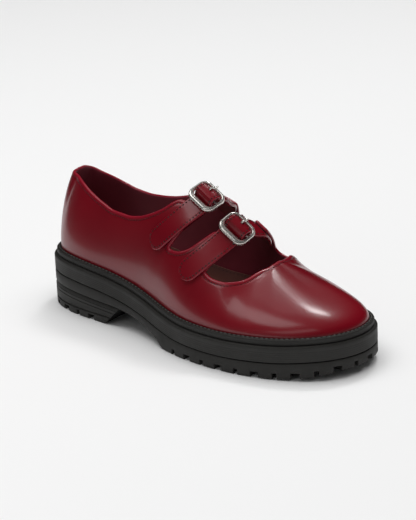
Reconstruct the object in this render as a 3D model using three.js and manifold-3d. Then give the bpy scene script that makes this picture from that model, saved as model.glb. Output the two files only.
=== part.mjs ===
// A mary jane shoe for the right foot: a leather upper open from the collar to the vamp, two straps that
// pass through centre-bar buckles on the outer side, and a lugged rubber sole with a low block heel.
// Lengths are millimetres. X runs from heel to toe, Y towards the inner side of the foot, Z up from the floor.
import * as THREE from "three";
import { mergeVertices } from "three/addons/utils/BufferGeometryUtils.js";
import Module from "manifold-3d";

const wasm = await Module();
wasm.setup();

// Overall sizes of the sole
const soleLength = 268;
const soleWidth = 106; // across the ball
const heelSeat = 41; // floor to the top of the welt at the back of the heel
const ballSeat = 25.3; // the same at the ball
const toeSeat = 29.4; // the same at the toe
const toeSpring = 6; // the tread's rise at the toe

// Layers of the sole
const weltSetback = 2; // in from the sole's edge
const weltMargin = 5.2; // from the sole's edge in to the line where the upper stands
const weltThickness = 4;
const weltRound = 1.2;
const midsoleThickness = 11;
const midsoleRound = 1.2;
const grooveDepth = 0.8; // of the lines between layers and along the heel
const gap = 0.3; // left between pieces that touch
const treadInset = 1; // of the tread's lower edge
const notchHeight = 4;
const notchDepth = 11; // in from the edge
const narrowNotch = 3.2;
const wideNotch = 6;
const notchPitch = 14;
const channelDepth = 3;
const channelWidth = 3;
const channelInset = 18;
const centreGrooves = 5;
const grooveStep = 0.5; // how much shallower they are than the channel
const treadStart = 0.505; // share of the length where the forefoot meets the floor

// The heel block
const heelLength = 70; // from the back of the sole to the block's front edge on the floor
const breastSlope = 15; // how far forward the block's front leans up to the arch
const breastHollow = 4; // the hollow of its front
const heelTread = 5.5; // thickness of its top piece
const heelRib = 2.4; // height of a rib round its upper part
const heelRibs = 2;
const heelGrooves = 3;
const heelGrooveLength = 34;

// The last and the upper
const lastHeight = 98; // height of the last's ridge under the rear strap, from the floor
const wall = 2.2; // leather and lining together
const footbed = 2; // how far the insole stands above the welt's top
const insoleClearance = 0.6;

// Straps, back strip and buckles
const strapWidth = 16;
const strapThickness = 2;
const strapSag = 2; // how far the strap hangs below the ears' skin between buckle and inner ear
const strapLift = 0.3; // between the strap's free end and the quarter under it
const stripWidth = 11;
const stripThickness = 0.8;
const buckleSide = 2.3; // width of the frame's side rails
const buckleFarBar = 2.2; // width of the bar that the prong rests on
const buckleNearBar = 4; // width of the broad bar over the strap's free end
const buckleThickness = 2.4;
const buckleReach = 6.2; // from the centre bar to the inside of either end bar
const buckleRound = 6;
const sideClearance = 1; // between strap and side rail
const barRadius = 0.8;
const prongRadius = 0.7;
const prongHole = 1.9; // from the centre bar to the hole in the strap
const tabThickness = 0.8;
const tabWidth = 12;
const tabReach = 26; // from the centre bar to the tab's sewn end
const tabSlot = 9; // length of its slot for the prong
const punchLength = 12; // of the cuts for holes and slots
const humpStart = 4.5; // from the centre bar back to where the strap starts to rise over it
const humpBack = 1.8; // from the bar to the back edge of the rise's top
const humpFront = 2.2; // to its front edge
const humpEnd = 4.2; // to where the strap is down again
const earCover = 3; // how far inside the inner ear's edge the strap has come to rest

// Lengths over the last from its ridge: to the centre bar and the free end on the outer side, and to the sewn
// end and the ear's edge on the inner side.
const rearBar = 12.3;
const rearTip = 63.6;
const rearBase = 38;
const rearEar = 24;
const frontBar = 12.8;
const frontTip = 61.8;
const frontBase = 36;
const frontEar = 21.5;

// Spacing of the sections that a strap is built from
const strapStep = 5; // on the quarter
const humpStep = 1.2; // over the bar
const bendStep = 2.5; // towards the inner ear
const stepClearance = 2; // between the first two kinds

// Plan of the sole's edge. at: share of the sole's length from the heel; outer and inner: share of half
// the sole's width, on the little toe's side and on the big toe's side.
const planTable = [
  { at: 0.03, outer: 0.44, inner: 0.44 },
  { at: 0.11, outer: 0.647, inner: 0.665 },
  { at: 0.25, outer: 0.709, inner: 0.67 },
  { at: 0.4, outer: 0.774, inner: 0.7 },
  { at: 0.55, outer: 0.961, inner: 0.88 },
  { at: 0.68, outer: 1.01, inner: 0.995 },
  { at: 0.8, outer: 0.926, inner: 0.945 },
  { at: 0.9, outer: 0.727, inner: 0.757 },
  { at: 0.968, outer: 0.438, inner: 0.52 },
];
const toeCentre = 0.05; // share of half the width by which the toe's tip lies to the inner side

// Top of the welt. drop: share of the fall from heel seat to ball seat; rise: share of the rise to the toe.
const seatTable = [
  { at: 0, drop: 0, rise: 0 },
  { at: 0.12, drop: 0.025, rise: 0 },
  { at: 0.24, drop: 0.153, rise: 0 },
  { at: 0.34, drop: 0.37, rise: 0 },
  { at: 0.42, drop: 0.61, rise: 0 },
  { at: 0.5, drop: 0.834, rise: 0 },
  { at: 0.58, drop: 0.968, rise: 0 },
  { at: 0.68, drop: 1, rise: 0 },
  { at: 0.84, drop: 1, rise: 0.34 },
  { at: 1, drop: 1, rise: 1 },
];

// Underside of the outsole. lift: share of the height of the midsole's underside, which makes the arch;
// spring: share of the toe spring.
const underTable = [
  { at: 0, lift: 0.68, spring: 0 },
  { at: 0.24, lift: 0.66, spring: 0 },
  { at: 0.34, lift: 0.7, spring: 0 },
  { at: 0.42, lift: 0.62, spring: 0 },
  { at: 0.475, lift: 0.4, spring: 0 },
  { at: 0.505, lift: 0, spring: 0 },
  { at: 0.75, lift: 0, spring: 0 },
  { at: 0.85, lift: 0, spring: 0.11 },
  { at: 0.93, lift: 0, spring: 0.39 },
  { at: 1, lift: 0, spring: 1 },
];

// Ridge of the last. height: share of the height under the rear strap; side: share of half the sole's width by
// which it lies to the inner side. The last row only gives its slope where the sections of the toe meet.
const ridgeTable = [
  { at: 0.14, height: 1.16, side: 0 },
  { at: 0.35, height: 1.15, side: 0.03 },
  { at: 0.46, height: 1.1, side: 0.07 },
  { at: 0.55, height: 1, side: 0.1 },
  { at: 0.645, height: 0.79, side: 0.13 },
  { at: 0.7, height: 0.61, side: 0.15 },
  { at: 0.76, height: 0.57, side: 0.16 },
];

// Cross-sections of the last. at: share of the way round from heel to toe; spine: share of the sole's length
// where the section meets the ridge; bulge: outward swell in shares of the welt's margin; rise and run: shares
// of the section's height and width that set its lower and upper fullness.
const sectionTable = [
  { at: 0, spine: 0.14, bulge: 0.7, rise: 0.4, run: 0.5 },
  { at: 0.05, spine: 0.145, bulge: 0.35, rise: 0.43, run: 0.38 },
  { at: 0.1, spine: 0.155, bulge: 0.2, rise: 0.4, run: 0.64 },
  { at: 0.22, spine: 0.2, bulge: 0.5, rise: 0.42, run: 0.62 },
  { at: 0.35, spine: 0.3, bulge: 0.5, rise: 0.45, run: 0.52 },
  { at: 0.5, spine: 0.49, bulge: 0.4, rise: 0.46, run: 0.56 },
  { at: 0.6, spine: 0.61, bulge: 0.3, rise: 0.42, run: 0.68 },
  { at: 0.7, spine: 0.68, bulge: 0.3, rise: 0.41, run: 0.72 },
  { at: 0.8, spine: 0.7, bulge: 0.2, rise: 0.4, run: 0.72 },
  { at: 0.9, spine: 0.7, bulge: -0.3, rise: 0.43, run: 0.67 },
  { at: 1, spine: 0.7, bulge: -0.2, rise: 0.42, run: 0.63 },
];

// How far a line up the upper leans towards the toe. lean: in shares of the way round.
const leanTable = [
  { at: 0, lean: 0 },
  { at: 0.1, lean: 0.06 },
  { at: 0.36, lean: 0.18 },
  { at: 0.5, lean: 0.12 },
  { at: 0.6, lean: 0.08 },
  { at: 0.75, lean: 0 },
  { at: 1, lean: 0 },
];

// Top line of the upper. at: share of the way round; up: share of the way from welt to ridge. Each high
// pair of rows is an ear that carries a strap, the low row between two ears is the slot.
const outerTopline = [
  { at: 0, up: 0.59 },
  { at: 0.035, up: 0.566 },
  { at: 0.075, up: 0.55 },
  { at: 0.106, up: 0.525 },
  { at: 0.141, up: 0.485 },
  { at: 0.183, up: 0.436 },
  { at: 0.218, up: 0.406 },
  { at: 0.247, up: 0.407 },
  { at: 0.273, up: 0.432 },
  { at: 0.293, up: 0.486 },
  { at: 0.308, up: 0.56 },
  { at: 0.318, up: 0.653 },
  { at: 0.324, up: 0.68 },
  { at: 0.335, up: 0.69 },
  { at: 0.36, up: 0.69 },
  { at: 0.369, up: 0.56 },
  { at: 0.376, up: 0.37 },
  { at: 0.386, up: 0.354 },
  { at: 0.408, up: 0.368 },
  { at: 0.428, up: 0.407 },
  { at: 0.439, up: 0.46 },
  { at: 0.445, up: 0.55 },
  { at: 0.449, up: 0.64 },
  { at: 0.458, up: 0.665 },
  { at: 0.503, up: 0.665 },
  { at: 0.513, up: 0.55 },
  { at: 0.524, up: 0.388 },
  { at: 0.547, up: 0.379 },
  { at: 0.585, up: 0.405 },
  { at: 0.619, up: 0.491 },
  { at: 0.666, up: 0.612 },
  { at: 0.739, up: 0.784 },
  { at: 0.793, up: 0.88 },
  { at: 0.9, up: 0.935 },
  { at: 1, up: 0.953 },
];
const innerTopline = [
  { at: 0, up: 0.59 },
  { at: 0.041, up: 0.54 },
  { at: 0.063, up: 0.511 },
  { at: 0.092, up: 0.463 },
  { at: 0.123, up: 0.415 },
  { at: 0.154, up: 0.379 },
  { at: 0.187, up: 0.37 },
  { at: 0.216, up: 0.382 },
  { at: 0.243, up: 0.406 },
  { at: 0.27, up: 0.45 },
  { at: 0.3, up: 0.52 },
  { at: 0.322, up: 0.58 },
  { at: 0.335, up: 0.6 },
  { at: 0.372, up: 0.6 },
  { at: 0.38, up: 0.5 },
  { at: 0.388, up: 0.37 },
  { at: 0.4, up: 0.35 },
  { at: 0.42, up: 0.355 },
  { at: 0.436, up: 0.4 },
  { at: 0.45, up: 0.52 },
  { at: 0.464, up: 0.6 },
  { at: 0.508, up: 0.61 },
  { at: 0.517, up: 0.5 },
  { at: 0.527, up: 0.34 },
  { at: 0.55, up: 0.3 },
  { at: 0.585, up: 0.3 },
  { at: 0.62, up: 0.564 },
  { at: 0.66, up: 0.658 },
  { at: 0.7, up: 0.724 },
  { at: 0.735, up: 0.792 },
  { at: 0.77, up: 0.867 },
  { at: 0.81, up: 0.906 },
  { at: 0.87, up: 0.934 },
  { at: 0.93, up: 0.948 },
  { at: 1, up: 0.953 },
];

// The two straps. round: where each crosses the ridge, as a share of the way round; sweep: how much further back
// its ends stand; buckle, tip and base: how far the buckle's centre bar, the free end and the sewn end lie from
// the ridge, the outer side being negative; ear: where the inner ear's edge covers the strap.
const straps = [
  { name: "rear", round: 0.36, sweep: 0.075, buckle: -rearBar, tip: -rearTip, base: rearBase, ear: rearEar },
  { name: "front", round: 0.5, sweep: 0.045, buckle: -frontBar, tip: -frontTip, base: frontBase, ear: frontEar },
];

// The tab's way from its sewn end to the bar. at: share of its reach; rise: over the skin's inside, in gaps.
const tabTable = [
  { at: 1, rise: 0 },
  { at: 0.7692, rise: 0 },
  { at: 0.5769, rise: 0 },
  { at: 0.4038, rise: 0 },
  { at: 0.2846, rise: 7 / 3 },
];

const leather = new THREE.MeshStandardMaterial({ color: 0x6e0a1c, roughness: 0.25, metalness: 0 });
const lining = new THREE.MeshStandardMaterial({ color: 0x2a1014, roughness: 0.8, metalness: 0 });
const rubber = new THREE.MeshStandardMaterial({ color: 0x1c1c1c, roughness: 0.7, metalness: 0 });
const steel = new THREE.MeshStandardMaterial({ color: 0xd8d6d0, roughness: 0.15, metalness: 1 });

// A smooth curve through one column of a table, without overshoot and level at both ends.
function through(rows, key) {
  const last = rows.length - 1;
  const chord = (i) => (rows[i + 1][key] - rows[i][key]) / (rows[i + 1].at - rows[i].at);
  const slope = rows.map((row, i) => {
    if (i === 0 || i === last) return 0;
    const before = chord(i - 1);
    const after = chord(i);
    if (before * after <= 0) return 0;
    const near = rows[i].at - rows[i - 1].at;
    const far = rows[i + 1].at - rows[i].at;
    return (3 * (near + far)) / ((2 * far + near) / before + (far + 2 * near) / after);
  });
  return (at) => {
    const x = THREE.MathUtils.clamp(at, rows[0].at, rows[last].at);
    let i = 0;
    while (i < last - 1 && x > rows[i + 1].at) i += 1;
    const span = rows[i + 1].at - rows[i].at;
    const s = (x - rows[i].at) / span;
    const rest = 1 - s;
    return (
      (1 + 2 * s) * rest * rest * rows[i][key] +
      s * rest * rest * span * slope[i] +
      s * s * (3 - 2 * s) * rows[i + 1][key] +
      s * s * (s - 1) * span * slope[i + 1]
    );
  };
}

// Second derivatives of a closed cubic spline through values at the given knots.
function closedSpline(knots, values) {
  const n = values.length;
  const step = values.map((_, i) => knots[i + 1] - knots[i]);
  const bend = values.map(() => 0);
  for (let sweep = 0; sweep < 60; sweep += 1) {
    for (let i = 0; i < n; i += 1) {
      const before = (i + n - 1) % n;
      const after = (i + 1) % n;
      const turn = (values[after] - values[i]) / step[i] - (values[i] - values[before]) / step[before];
      bend[i] = (6 * turn - step[before] * bend[before] - step[i] * bend[after]) / (2 * (step[before] + step[i]));
    }
  }
  return (at) => {
    let i = 0;
    while (i < n - 1 && at > knots[i + 1]) i += 1;
    const after = (i + 1) % n;
    const a = (knots[i + 1] - at) / step[i];
    const b = (at - knots[i]) / step[i];
    const bow = ((a ** 3 - a) * bend[i] + (b ** 3 - b) * bend[after]) * (step[i] ** 2 / 6);
    return a * values[i] + b * values[after] + bow;
  };
}

// The sole's edge as a closed curve. It takes a turn from 0 at the heel, over 0.5 at the toe, to 1 at the heel
// again, first along the outer side, and gives the point there and the direction out from the sole.
function solePlan() {
  const outer = planTable.map((row) => [row.at - 0.5, -row.outer / 2]);
  const inner = planTable.map((row) => [row.at - 0.5, row.inner / 2]).reverse();
  const points = [[-0.5, 0], ...outer, [0.5, toeCentre / 2], ...inner];
  const knots = [0];
  points.forEach(([x, y], i) => {
    const [nextX, nextY] = points[(i + 1) % points.length];
    knots.push(knots[i] + Math.hypot((nextX - x) * soleLength, (nextY - y) * soleWidth));
  });
  const curveX = closedSpline(knots, points.map((point) => point[0]));
  const curveY = closedSpline(knots, points.map((point) => point[1]));

  const samples = 720;
  const total = knots[knots.length - 1];
  const raw = Array.from({ length: samples + 1 }, (_, i) => [curveX((i * total) / samples), curveY((i * total) / samples)]);
  const low = [0, 1].map((axis) => Math.min(...raw.map((point) => point[axis])));
  const high = [0, 1].map((axis) => Math.max(...raw.map((point) => point[axis])));
  const place = (knot) =>
    new THREE.Vector2(
      ((curveX(knot) - low[0]) / (high[0] - low[0]) - 0.5) * soleLength,
      ((curveY(knot) - low[1]) / (high[1] - low[1]) - 0.5) * soleWidth,
    );

  const walked = [0];
  for (let i = 1; i <= samples; i += 1) {
    const stretch = place((i * total) / samples).distanceTo(place(((i - 1) * total) / samples));
    walked.push(walked[i - 1] + stretch);
  }
  const toe = raw.reduce((best, point, i) => (point[0] > raw[best][0] ? i : best), 0);
  const knotAt = (turn) => {
    const distance = turn < 0.5
      ? 2 * turn * walked[toe]
      : walked[toe] + (2 * turn - 1) * (walked[samples] - walked[toe]);
    let i = 0;
    while (i < samples - 1 && distance > walked[i + 1]) i += 1;
    return ((i + (distance - walked[i]) / (walked[i + 1] - walked[i])) * total) / samples;
  };
  const nudge = total / 4000;
  return (turn) => {
    const knot = knotAt(turn - Math.floor(turn));
    const ahead = place((knot + nudge) % total);
    const behind = place((knot - nudge + total) % total);
    const along = ahead.sub(behind).normalize();
    return { point: place(knot), out: new THREE.Vector2(along.y, -along.x) };
  };
}

const edge = solePlan();
const share = (x) => x / soleLength + 0.5;
const round = (turn) => 1 - Math.abs(1 - 2 * (turn - Math.floor(turn)));
const column = Object.fromEntries(
  [
    [seatTable, "drop"],
    [seatTable, "rise"],
    [underTable, "lift"],
    [underTable, "spring"],
    [ridgeTable, "height"],
    [ridgeTable, "side"],
    [sectionTable, "spine"],
    [sectionTable, "bulge"],
    [sectionTable, "rise"],
    [sectionTable, "run"],
    [leanTable, "lean"],
  ].map(([rows, key]) => [`${key}${rows === sectionTable ? "OfSection" : ""}`, through(rows, key)]),
);
const topline = { outer: through(outerTopline, "up"), inner: through(innerTopline, "up") };

// Height of the welt's top, which the upper and the insole stand on.
function seat(x) {
  const at = share(x);
  return heelSeat - column.drop(at) * (heelSeat - ballSeat) + column.rise(at) * (toeSeat - ballSeat);
}

const midsoleTop = (x) => seat(x) - weltThickness - gap;
const midsoleBottom = (x) => midsoleTop(x) - midsoleThickness;
const outsoleTop = (x) => midsoleBottom(x) - gap;
const outsoleBottom = (x) => column.lift(share(x)) * outsoleTop(x) + column.spring(share(x)) * toeSpring;

// A point at the given distance in from the sole's edge, at a height that depends on how far along it is.
function inside(turn, inset, height) {
  const { point, out } = edge(turn);
  const x = point.x - out.x * inset;
  return new THREE.Vector3(x, point.y - out.y * inset, height(x));
}

// The last's surface on a cross-section: from the welt's line at up 0 to the ridge at up 1.
function last(turn, up) {
  const foot = inside(turn, weltMargin, (x) => seat(x) + gap);
  const way = round(turn);
  const spine = column.spineOfSection(way);
  const ridge = (at) => column.height(at) * lastHeight;
  const crest = new THREE.Vector3((spine - 0.5) * soleLength, (column.side(spine) * soleWidth) / 2, ridge(spine));
  const reach = Math.hypot(crest.x - foot.x, crest.y - foot.y);
  const height = crest.z - foot.z;
  const run = column.runOfSection(way);
  // The section leaves the ridge in the plane that holds the ridge and is level across it.
  const ridgeSlope = (ridge(spine + 0.01) - ridge(spine - 0.01)) / (0.02 * soleLength);
  const lift = 1 - (ridgeSlope * (crest.x - foot.x) * (1 - run)) / height;
  const bezier = (first, second) => 3 * up * (1 - up) ** 2 * first + 3 * up ** 2 * (1 - up) * second + up ** 3;
  const inward = bezier((-column.bulgeOfSection(way) * weltMargin) / reach, run);
  const upward = bezier(column.riseOfSection(way), lift);
  return new THREE.Vector3(
    foot.x + (crest.x - foot.x) * inward,
    foot.y + (crest.y - foot.y) * inward,
    foot.z + height * upward,
  );
}

// The upper's skin: the last's surface followed along lines that lean towards the toe, as the straps do,
// moved outward by an offset.
function skin(turn, up, offset = 0) {
  const lean = (column.lean(round(turn)) * up * (2 - up)) / 2;
  const leaned = turn < 0.5 ? turn + lean : turn - lean;
  const point = last(leaned, up);
  const small = 1e-3;
  const across = last(leaned + small, up).sub(last(leaned - small, up));
  const upwards = last(leaned, up + small).sub(last(leaned, up - small));
  const out = across.cross(upwards).normalize();
  return { point: point.addScaledVector(out, offset), out };
}

// A solid from its vertices and triangles.
function solid(points, triangles) {
  const geometry = new THREE.BufferGeometry().setFromPoints(points);
  geometry.setIndex(triangles);
  return geometry;
}

// Joins loops of equal length into one closed skin. The first loop is the lowest on the outside. A ring's last
// loop joins its first; otherwise both ends are closed by a ladder of faces from the outer side to the inner.
function stack(loops, isRing) {
  const count = loops[0].length;
  const triangles = [];
  const layers = isRing ? loops.length : loops.length - 1;
  for (let k = 0; k < layers; k += 1) {
    const lower = k * count;
    const upper = ((k + 1) % loops.length) * count;
    for (let i = 0; i < count; i += 1) {
      const next = (i + 1) % count;
      triangles.push(lower + i, lower + next, upper + next, lower + i, upper + next, upper + i);
    }
  }
  if (!isRing) {
    const top = (loops.length - 1) * count;
    for (let i = 0; i < count / 2; i += 1) {
      const [a, b, c, d] = [i, i + 1, count - i - 1, (count - i) % count];
      if (b !== c) triangles.push(top + a, top + b, top + c, a, c, b);
      if (a !== d) triangles.push(top + a, top + c, top + d, a, d, c);
    }
  }
  return solid(loops.flat(), triangles);
}

// Evenly spread turns round the sole, the same number on either side.
const evenTurns = (count) => Array.from({ length: count }, (_, i) => i / count);
const soleTurns = evenTurns(76);
const loopAt = (turns, inset, height) => turns.map((turn) => inside(turn, inset, height));

// Booleans go through manifold-3d, and edges shorter than the finest are joined.
const finest = 0.02;
function manifold(geometry) {
  const plain = new THREE.BufferGeometry().setAttribute("position", geometry.getAttribute("position").clone());
  if (geometry.index) plain.setIndex(geometry.index.clone());
  const merged = mergeVertices(plain, 1e-4);
  return new wasm.Manifold(
    new wasm.Mesh({
      numProp: 3,
      vertProperties: new Float32Array(merged.getAttribute("position").array),
      triVerts: new Uint32Array(merged.index.array),
    }),
  );
}

function fromManifold(body) {
  const mesh = body.simplify(finest).getMesh();
  const geometry = new THREE.BufferGeometry();
  geometry.setAttribute("position", new THREE.BufferAttribute(mesh.vertProperties, 3));
  geometry.setIndex(new THREE.BufferAttribute(mesh.triVerts, 1));
  return geometry;
}

function weltGeometry() {
  const bottom = (x) => seat(x) - weltThickness;
  const round1 = weltSetback + weltRound;
  const innerEdge = weltMargin + wall;
  return stack(
    [
      loopAt(soleTurns, weltSetback, bottom),
      loopAt(soleTurns, weltSetback, (x) => seat(x) - weltRound),
      loopAt(soleTurns, round1, seat),
      loopAt(soleTurns, innerEdge, seat),
      loopAt(soleTurns, innerEdge, bottom),
    ],
    true,
  );
}

function midsoleGeometry() {
  return stack(
    [
      loopAt(soleTurns, grooveDepth, midsoleBottom),
      loopAt(soleTurns, 0, (x) => midsoleBottom(x) + grooveDepth),
      loopAt(soleTurns, 0, (x) => midsoleTop(x) - midsoleRound),
      loopAt(soleTurns, midsoleRound, midsoleTop),
    ],
    false,
  );
}

// A block that cuts a notch or a groove: its middle, its size and the way it points.
function cutter(centre, length, width, height, direction) {
  const box = new THREE.BoxGeometry(length, width, height);
  box.rotateZ(Math.atan2(direction.y, direction.x));
  box.translate(centre.x, centre.y, centre.z);
  return manifold(box);
}

// Notches round an edge: their turns are walked off from the pitch, and narrow and wide ones take turns.
function notches(from, to, floor) {
  const halfway = soleLength + soleWidth / 2;
  const count = Math.round(((to - from) * 2 * halfway) / notchPitch);
  return Array.from({ length: count }, (_, i) => {
    const turn = from + ((to - from) * (i + 0.5)) / count;
    const { point, out } = edge(turn);
    const middle = point.clone().addScaledVector(out, -notchDepth / 2);
    const height = 2 * notchHeight;
    const width = i % 2 ? wideNotch : narrowNotch;
    return cutter(new THREE.Vector3(middle.x, middle.y, floor(point.x)), notchDepth + 4, width, height, out);
  });
}

function outsoleGeometry() {
  let body = manifold(
    stack(
      [
        loopAt(soleTurns, treadInset, outsoleBottom),
        loopAt(soleTurns, 0, (x) => outsoleBottom(x) + treadInset),
        loopAt(soleTurns, 0, (x) => outsoleTop(x) - grooveDepth),
        loopAt(soleTurns, grooveDepth, outsoleTop),
      ],
      false,
    ),
  );
  const firstTurn = evenTurns(400).find((turn) => share(edge(turn).point.x) > treadStart + 0.02);
  for (const notch of notches(firstTurn, 1 - firstTurn, outsoleBottom)) body = body.subtract(notch);
  const start = (treadStart - 0.5) * soleLength;
  const tall = 2 * heelSeat;
  const front = manifold(new THREE.BoxGeometry(soleLength, 2 * soleWidth, tall).translate(start + soleLength / 2, 0, 0));
  const roof = (x) => outsoleBottom(x) + channelDepth;
  const floor = () => -treadInset;
  const layer = (inset, top) =>
    manifold(stack([loopAt(soleTurns, inset, floor), loopAt(soleTurns, inset, top)], false));
  const core = layer(channelInset + channelWidth, () => heelSeat);
  body = body.subtract(layer(channelInset, roof).subtract(core).intersect(front));
  const centre = layer(channelInset + channelWidth / 2, (x) => roof(x) - grooveStep);
  for (let i = 1; i <= centreGrooves; i += 1) {
    const x = start + (i * (soleLength / 2 - channelInset)) / (centreGrooves + 1);
    const groove = new THREE.BoxGeometry(channelWidth, 2 * soleWidth, tall).translate(x, 0, 0);
    body = body.subtract(manifold(groove).intersect(centre));
  }
  return fromManifold(body);
}

const breast = (height) => -soleLength / 2 + heelLength + breastSlope * height;

// The heel block's outline at one level: round the heel from the inner to the outer end of its front, then back
// along the hollow front. level: share of the block's height.
function heelLoop(inset, level, height) {
  const front = breast(level);
  const turns = evenTurns(400).slice(0, 200);
  const outerEnd = turns.find((turn) => inside(turn, inset, seat).x > front);
  const innerEnd = turns.find((turn) => inside(1 - turn - 1e-6, inset, seat).x > front);
  const steps = 34;
  const curve = Array.from({ length: steps }, (_, i) => {
    const turn = 1 - innerEnd + ((outerEnd + innerEnd) * i) / (steps - 1);
    return inside(turn % 1, inset, height);
  });
  const acrossSteps = 8;
  const from = curve[steps - 1];
  const to = curve[0];
  for (let i = 1; i < acrossSteps; i += 1) {
    const s = i / acrossSteps;
    const hollow = 4 * breastHollow * s * (1 - s);
    const x = THREE.MathUtils.lerp(from.x, to.x, s) - hollow;
    curve.push(new THREE.Vector3(x, THREE.MathUtils.lerp(from.y, to.y, s), height(x)));
  }
  return curve;
}

function heelGeometry() {
  const top = (x) => outsoleBottom(Math.min(x, breast(1))) - gap;
  const levels = [
    { inset: treadInset, z: () => 0, level: 0 },
    { inset: 0, z: () => treadInset, level: 0 },
    { inset: 0, z: () => heelTread - grooveDepth, level: 0 },
    { inset: grooveDepth, z: () => heelTread, level: 0 },
    { inset: 0, z: () => heelTread + grooveDepth, level: 0 },
  ];
  for (let i = heelRibs; i > 0; i -= 1) {
    const foot = (x) => top(x) - i * heelRib;
    levels.push({ inset: 0, z: (x) => foot(x) - grooveDepth });
    levels.push({ inset: grooveDepth, z: foot });
    levels.push({ inset: 0, z: (x) => foot(x) + grooveDepth });
  }
  levels.push({ inset: grooveDepth, z: top });
  const sized = levels.map(({ inset, z }) => {
    const level = z(breast(0.5)) / top(breast(0.5));
    return heelLoop(inset, level, z);
  });
  // Both ends of the block are closed by a fan round their middle.
  const count = sized[0].length;
  const middle = (loop) =>
    loop.reduce((sum, point) => sum.add(point), new THREE.Vector3()).divideScalar(loop.length);
  const points = [...sized.flat(), middle(sized[0]), middle(sized[sized.length - 1])];
  const triangles = [];
  const bottom = sized.length * count;
  for (let i = 0; i < count; i += 1) {
    const next = (i + 1) % count;
    for (let k = 0; k < sized.length - 1; k += 1) {
      const [a, b, c, d] = [k * count + i, k * count + next, (k + 1) * count + next, (k + 1) * count + i];
      triangles.push(a, b, c, a, c, d);
    }
    const lid = (sized.length - 1) * count;
    triangles.push(bottom, next, i, bottom + 1, lid + i, lid + next);
  }
  let body = manifold(solid(points, triangles));
  const frontTurn = evenTurns(400).find((turn) => edge(turn).point.x > breast(0) - notchPitch / 2);
  for (const notch of notches(1 - frontTurn, 1 + frontTurn, () => 0)) body = body.subtract(notch);
  for (let i = 1; i <= heelGrooves; i += 1) {
    const x = -soleLength / 2 + channelInset + (i - 0.5) * ((heelLength - channelInset) / heelGrooves);
    const groove = new THREE.BoxGeometry(channelWidth, heelGrooveLength, 2 * channelDepth).translate(x, 0, 0);
    body = body.subtract(manifold(groove));
  }
  return fromManifold(body);
}

function insoleGeometry() {
  const inset = weltMargin + wall + insoleClearance;
  return stack(
    [
      loopAt(soleTurns, inset, (x) => midsoleTop(x) + gap),
      loopAt(soleTurns, inset, (x) => seat(x) - 0.5),
      loopAt(soleTurns, inset + 2, (x) => seat(x) + footbed),
    ],
    false,
  );
}

// Turns at which the upper's sections stand: each row of the top line, and enough between them.
function upperTurns() {
  const spacing = 0.04;
  const ways = (rows) =>
    rows.slice(1).flatMap((row, i) => {
      const span = row.at - rows[i].at;
      const steps = Math.ceil(span / spacing) + (Math.abs(row.up - rows[i].up) > 0.15 ? 1 : 0);
      return Array.from({ length: steps }, (_, k) => rows[i].at + (span * k) / steps);
    });
  const outer = ways(outerTopline).map((way) => way / 2);
  const inner = ways(innerTopline).map((way) => 1 - way / 2).slice(1);
  return [...outer, 0.5, ...inner.reverse()];
}

const toplineAt = (turn) => (turn <= 0.5 ? topline.outer : topline.inner)(round(turn));

function upperGeometry() {
  const turns = upperTurns();
  const rows = 8;
  const loops = [];
  const loop = (level, offset) => turns.map((turn) => skin(turn, toplineAt(turn) * level, offset).point);
  for (let k = 0; k <= rows; k += 1) loops.push(loop(k / rows, 0));
  for (let k = rows; k >= 0; k -= 1) loops.push(loop(k / rows, -wall));
  return stack(loops, true);
}

// A strip of leather laid on the upper's back seam.
function backStripGeometry() {
  const halfTurn = stripWidth / 2 / (2 * (soleLength + soleWidth / 2));
  const columns = 6;
  const rows = 8;
  const offset = (level) => gap + level * stripThickness;
  const loops = [];
  for (let k = 0; k <= rows; k += 1) {
    const loop = [];
    const at = (i, level) => {
      const turn = (1 + halfTurn * ((2 * i) / columns - 1)) % 1;
      const up = 0.02 + (toplineAt(0) - 0.02) * (k / rows);
      return skin(turn, up, offset(level)).point;
    };
    for (let i = 0; i <= columns; i += 1) loop.push(at(i, 1));
    for (let i = columns; i >= 0; i -= 1) loop.push(at(i, 0));
    loops.push(loop);
  }
  return stack(loops, false);
}

// The way of a strap over the last: distances from the ridge, the outer side being negative, to places.
function strapWay({ round: crossing, sweep }) {
  const samples = 60;
  const stretch = Array.from({ length: samples + 1 }, (_, i) => 0.2 + (0.8 * i) / samples);
  const way = (up) => crossing - sweep * (1 - up) ** 3;
  const outer = stretch.map((up) => skin(way(up) / 2, up));
  const inner = stretch.map((up) => skin(1 - way(up) / 2, up)).reverse();
  const places = [...outer, ...inner.slice(1)];
  const walked = [0];
  for (let i = 1; i < places.length; i += 1) {
    walked.push(walked[i - 1] + places[i].point.distanceTo(places[i - 1].point));
  }
  const middle = walked[samples];
  return (distance, lift = 0) => {
    const wanted = distance + middle;
    let i = 0;
    while (i < places.length - 2 && wanted > walked[i + 1]) i += 1;
    const s = (wanted - walked[i]) / (walked[i + 1] - walked[i]);
    const out = places[i].out.clone().lerp(places[i + 1].out, s).normalize();
    const along = places[i + 1].point.clone().sub(places[i].point).normalize();
    const point = places[i].point.clone().lerp(places[i + 1].point, s).addScaledVector(out, lift);
    return { point, out, along, side: new THREE.Vector3().crossVectors(along, out).normalize() };
  };
}

// A flat band swept along points of [distance, lift] on a strap's way. halfWidth gives its half width there.
function band(way, course, thickness, halfWidth) {
  const line = course.map(([distance, lift]) => way(distance, lift));
  const loops = line.map(({ point, side }, i) => {
    const before = line[Math.max(i - 1, 0)].point;
    const after = line[Math.min(i + 1, line.length - 1)].point;
    const along = after.clone().sub(before).normalize();
    const out = new THREE.Vector3().crossVectors(side, along).normalize();
    const half = halfWidth(course[i][0], i);
    const corner = (sideways, outward) =>
      point.clone().addScaledVector(side, sideways * half).addScaledVector(out, (outward * thickness) / 2);
    return [corner(-1, -1), corner(1, -1), corner(1, 1), corner(-1, 1)];
  });
  return stackTube(loops);
}

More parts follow.
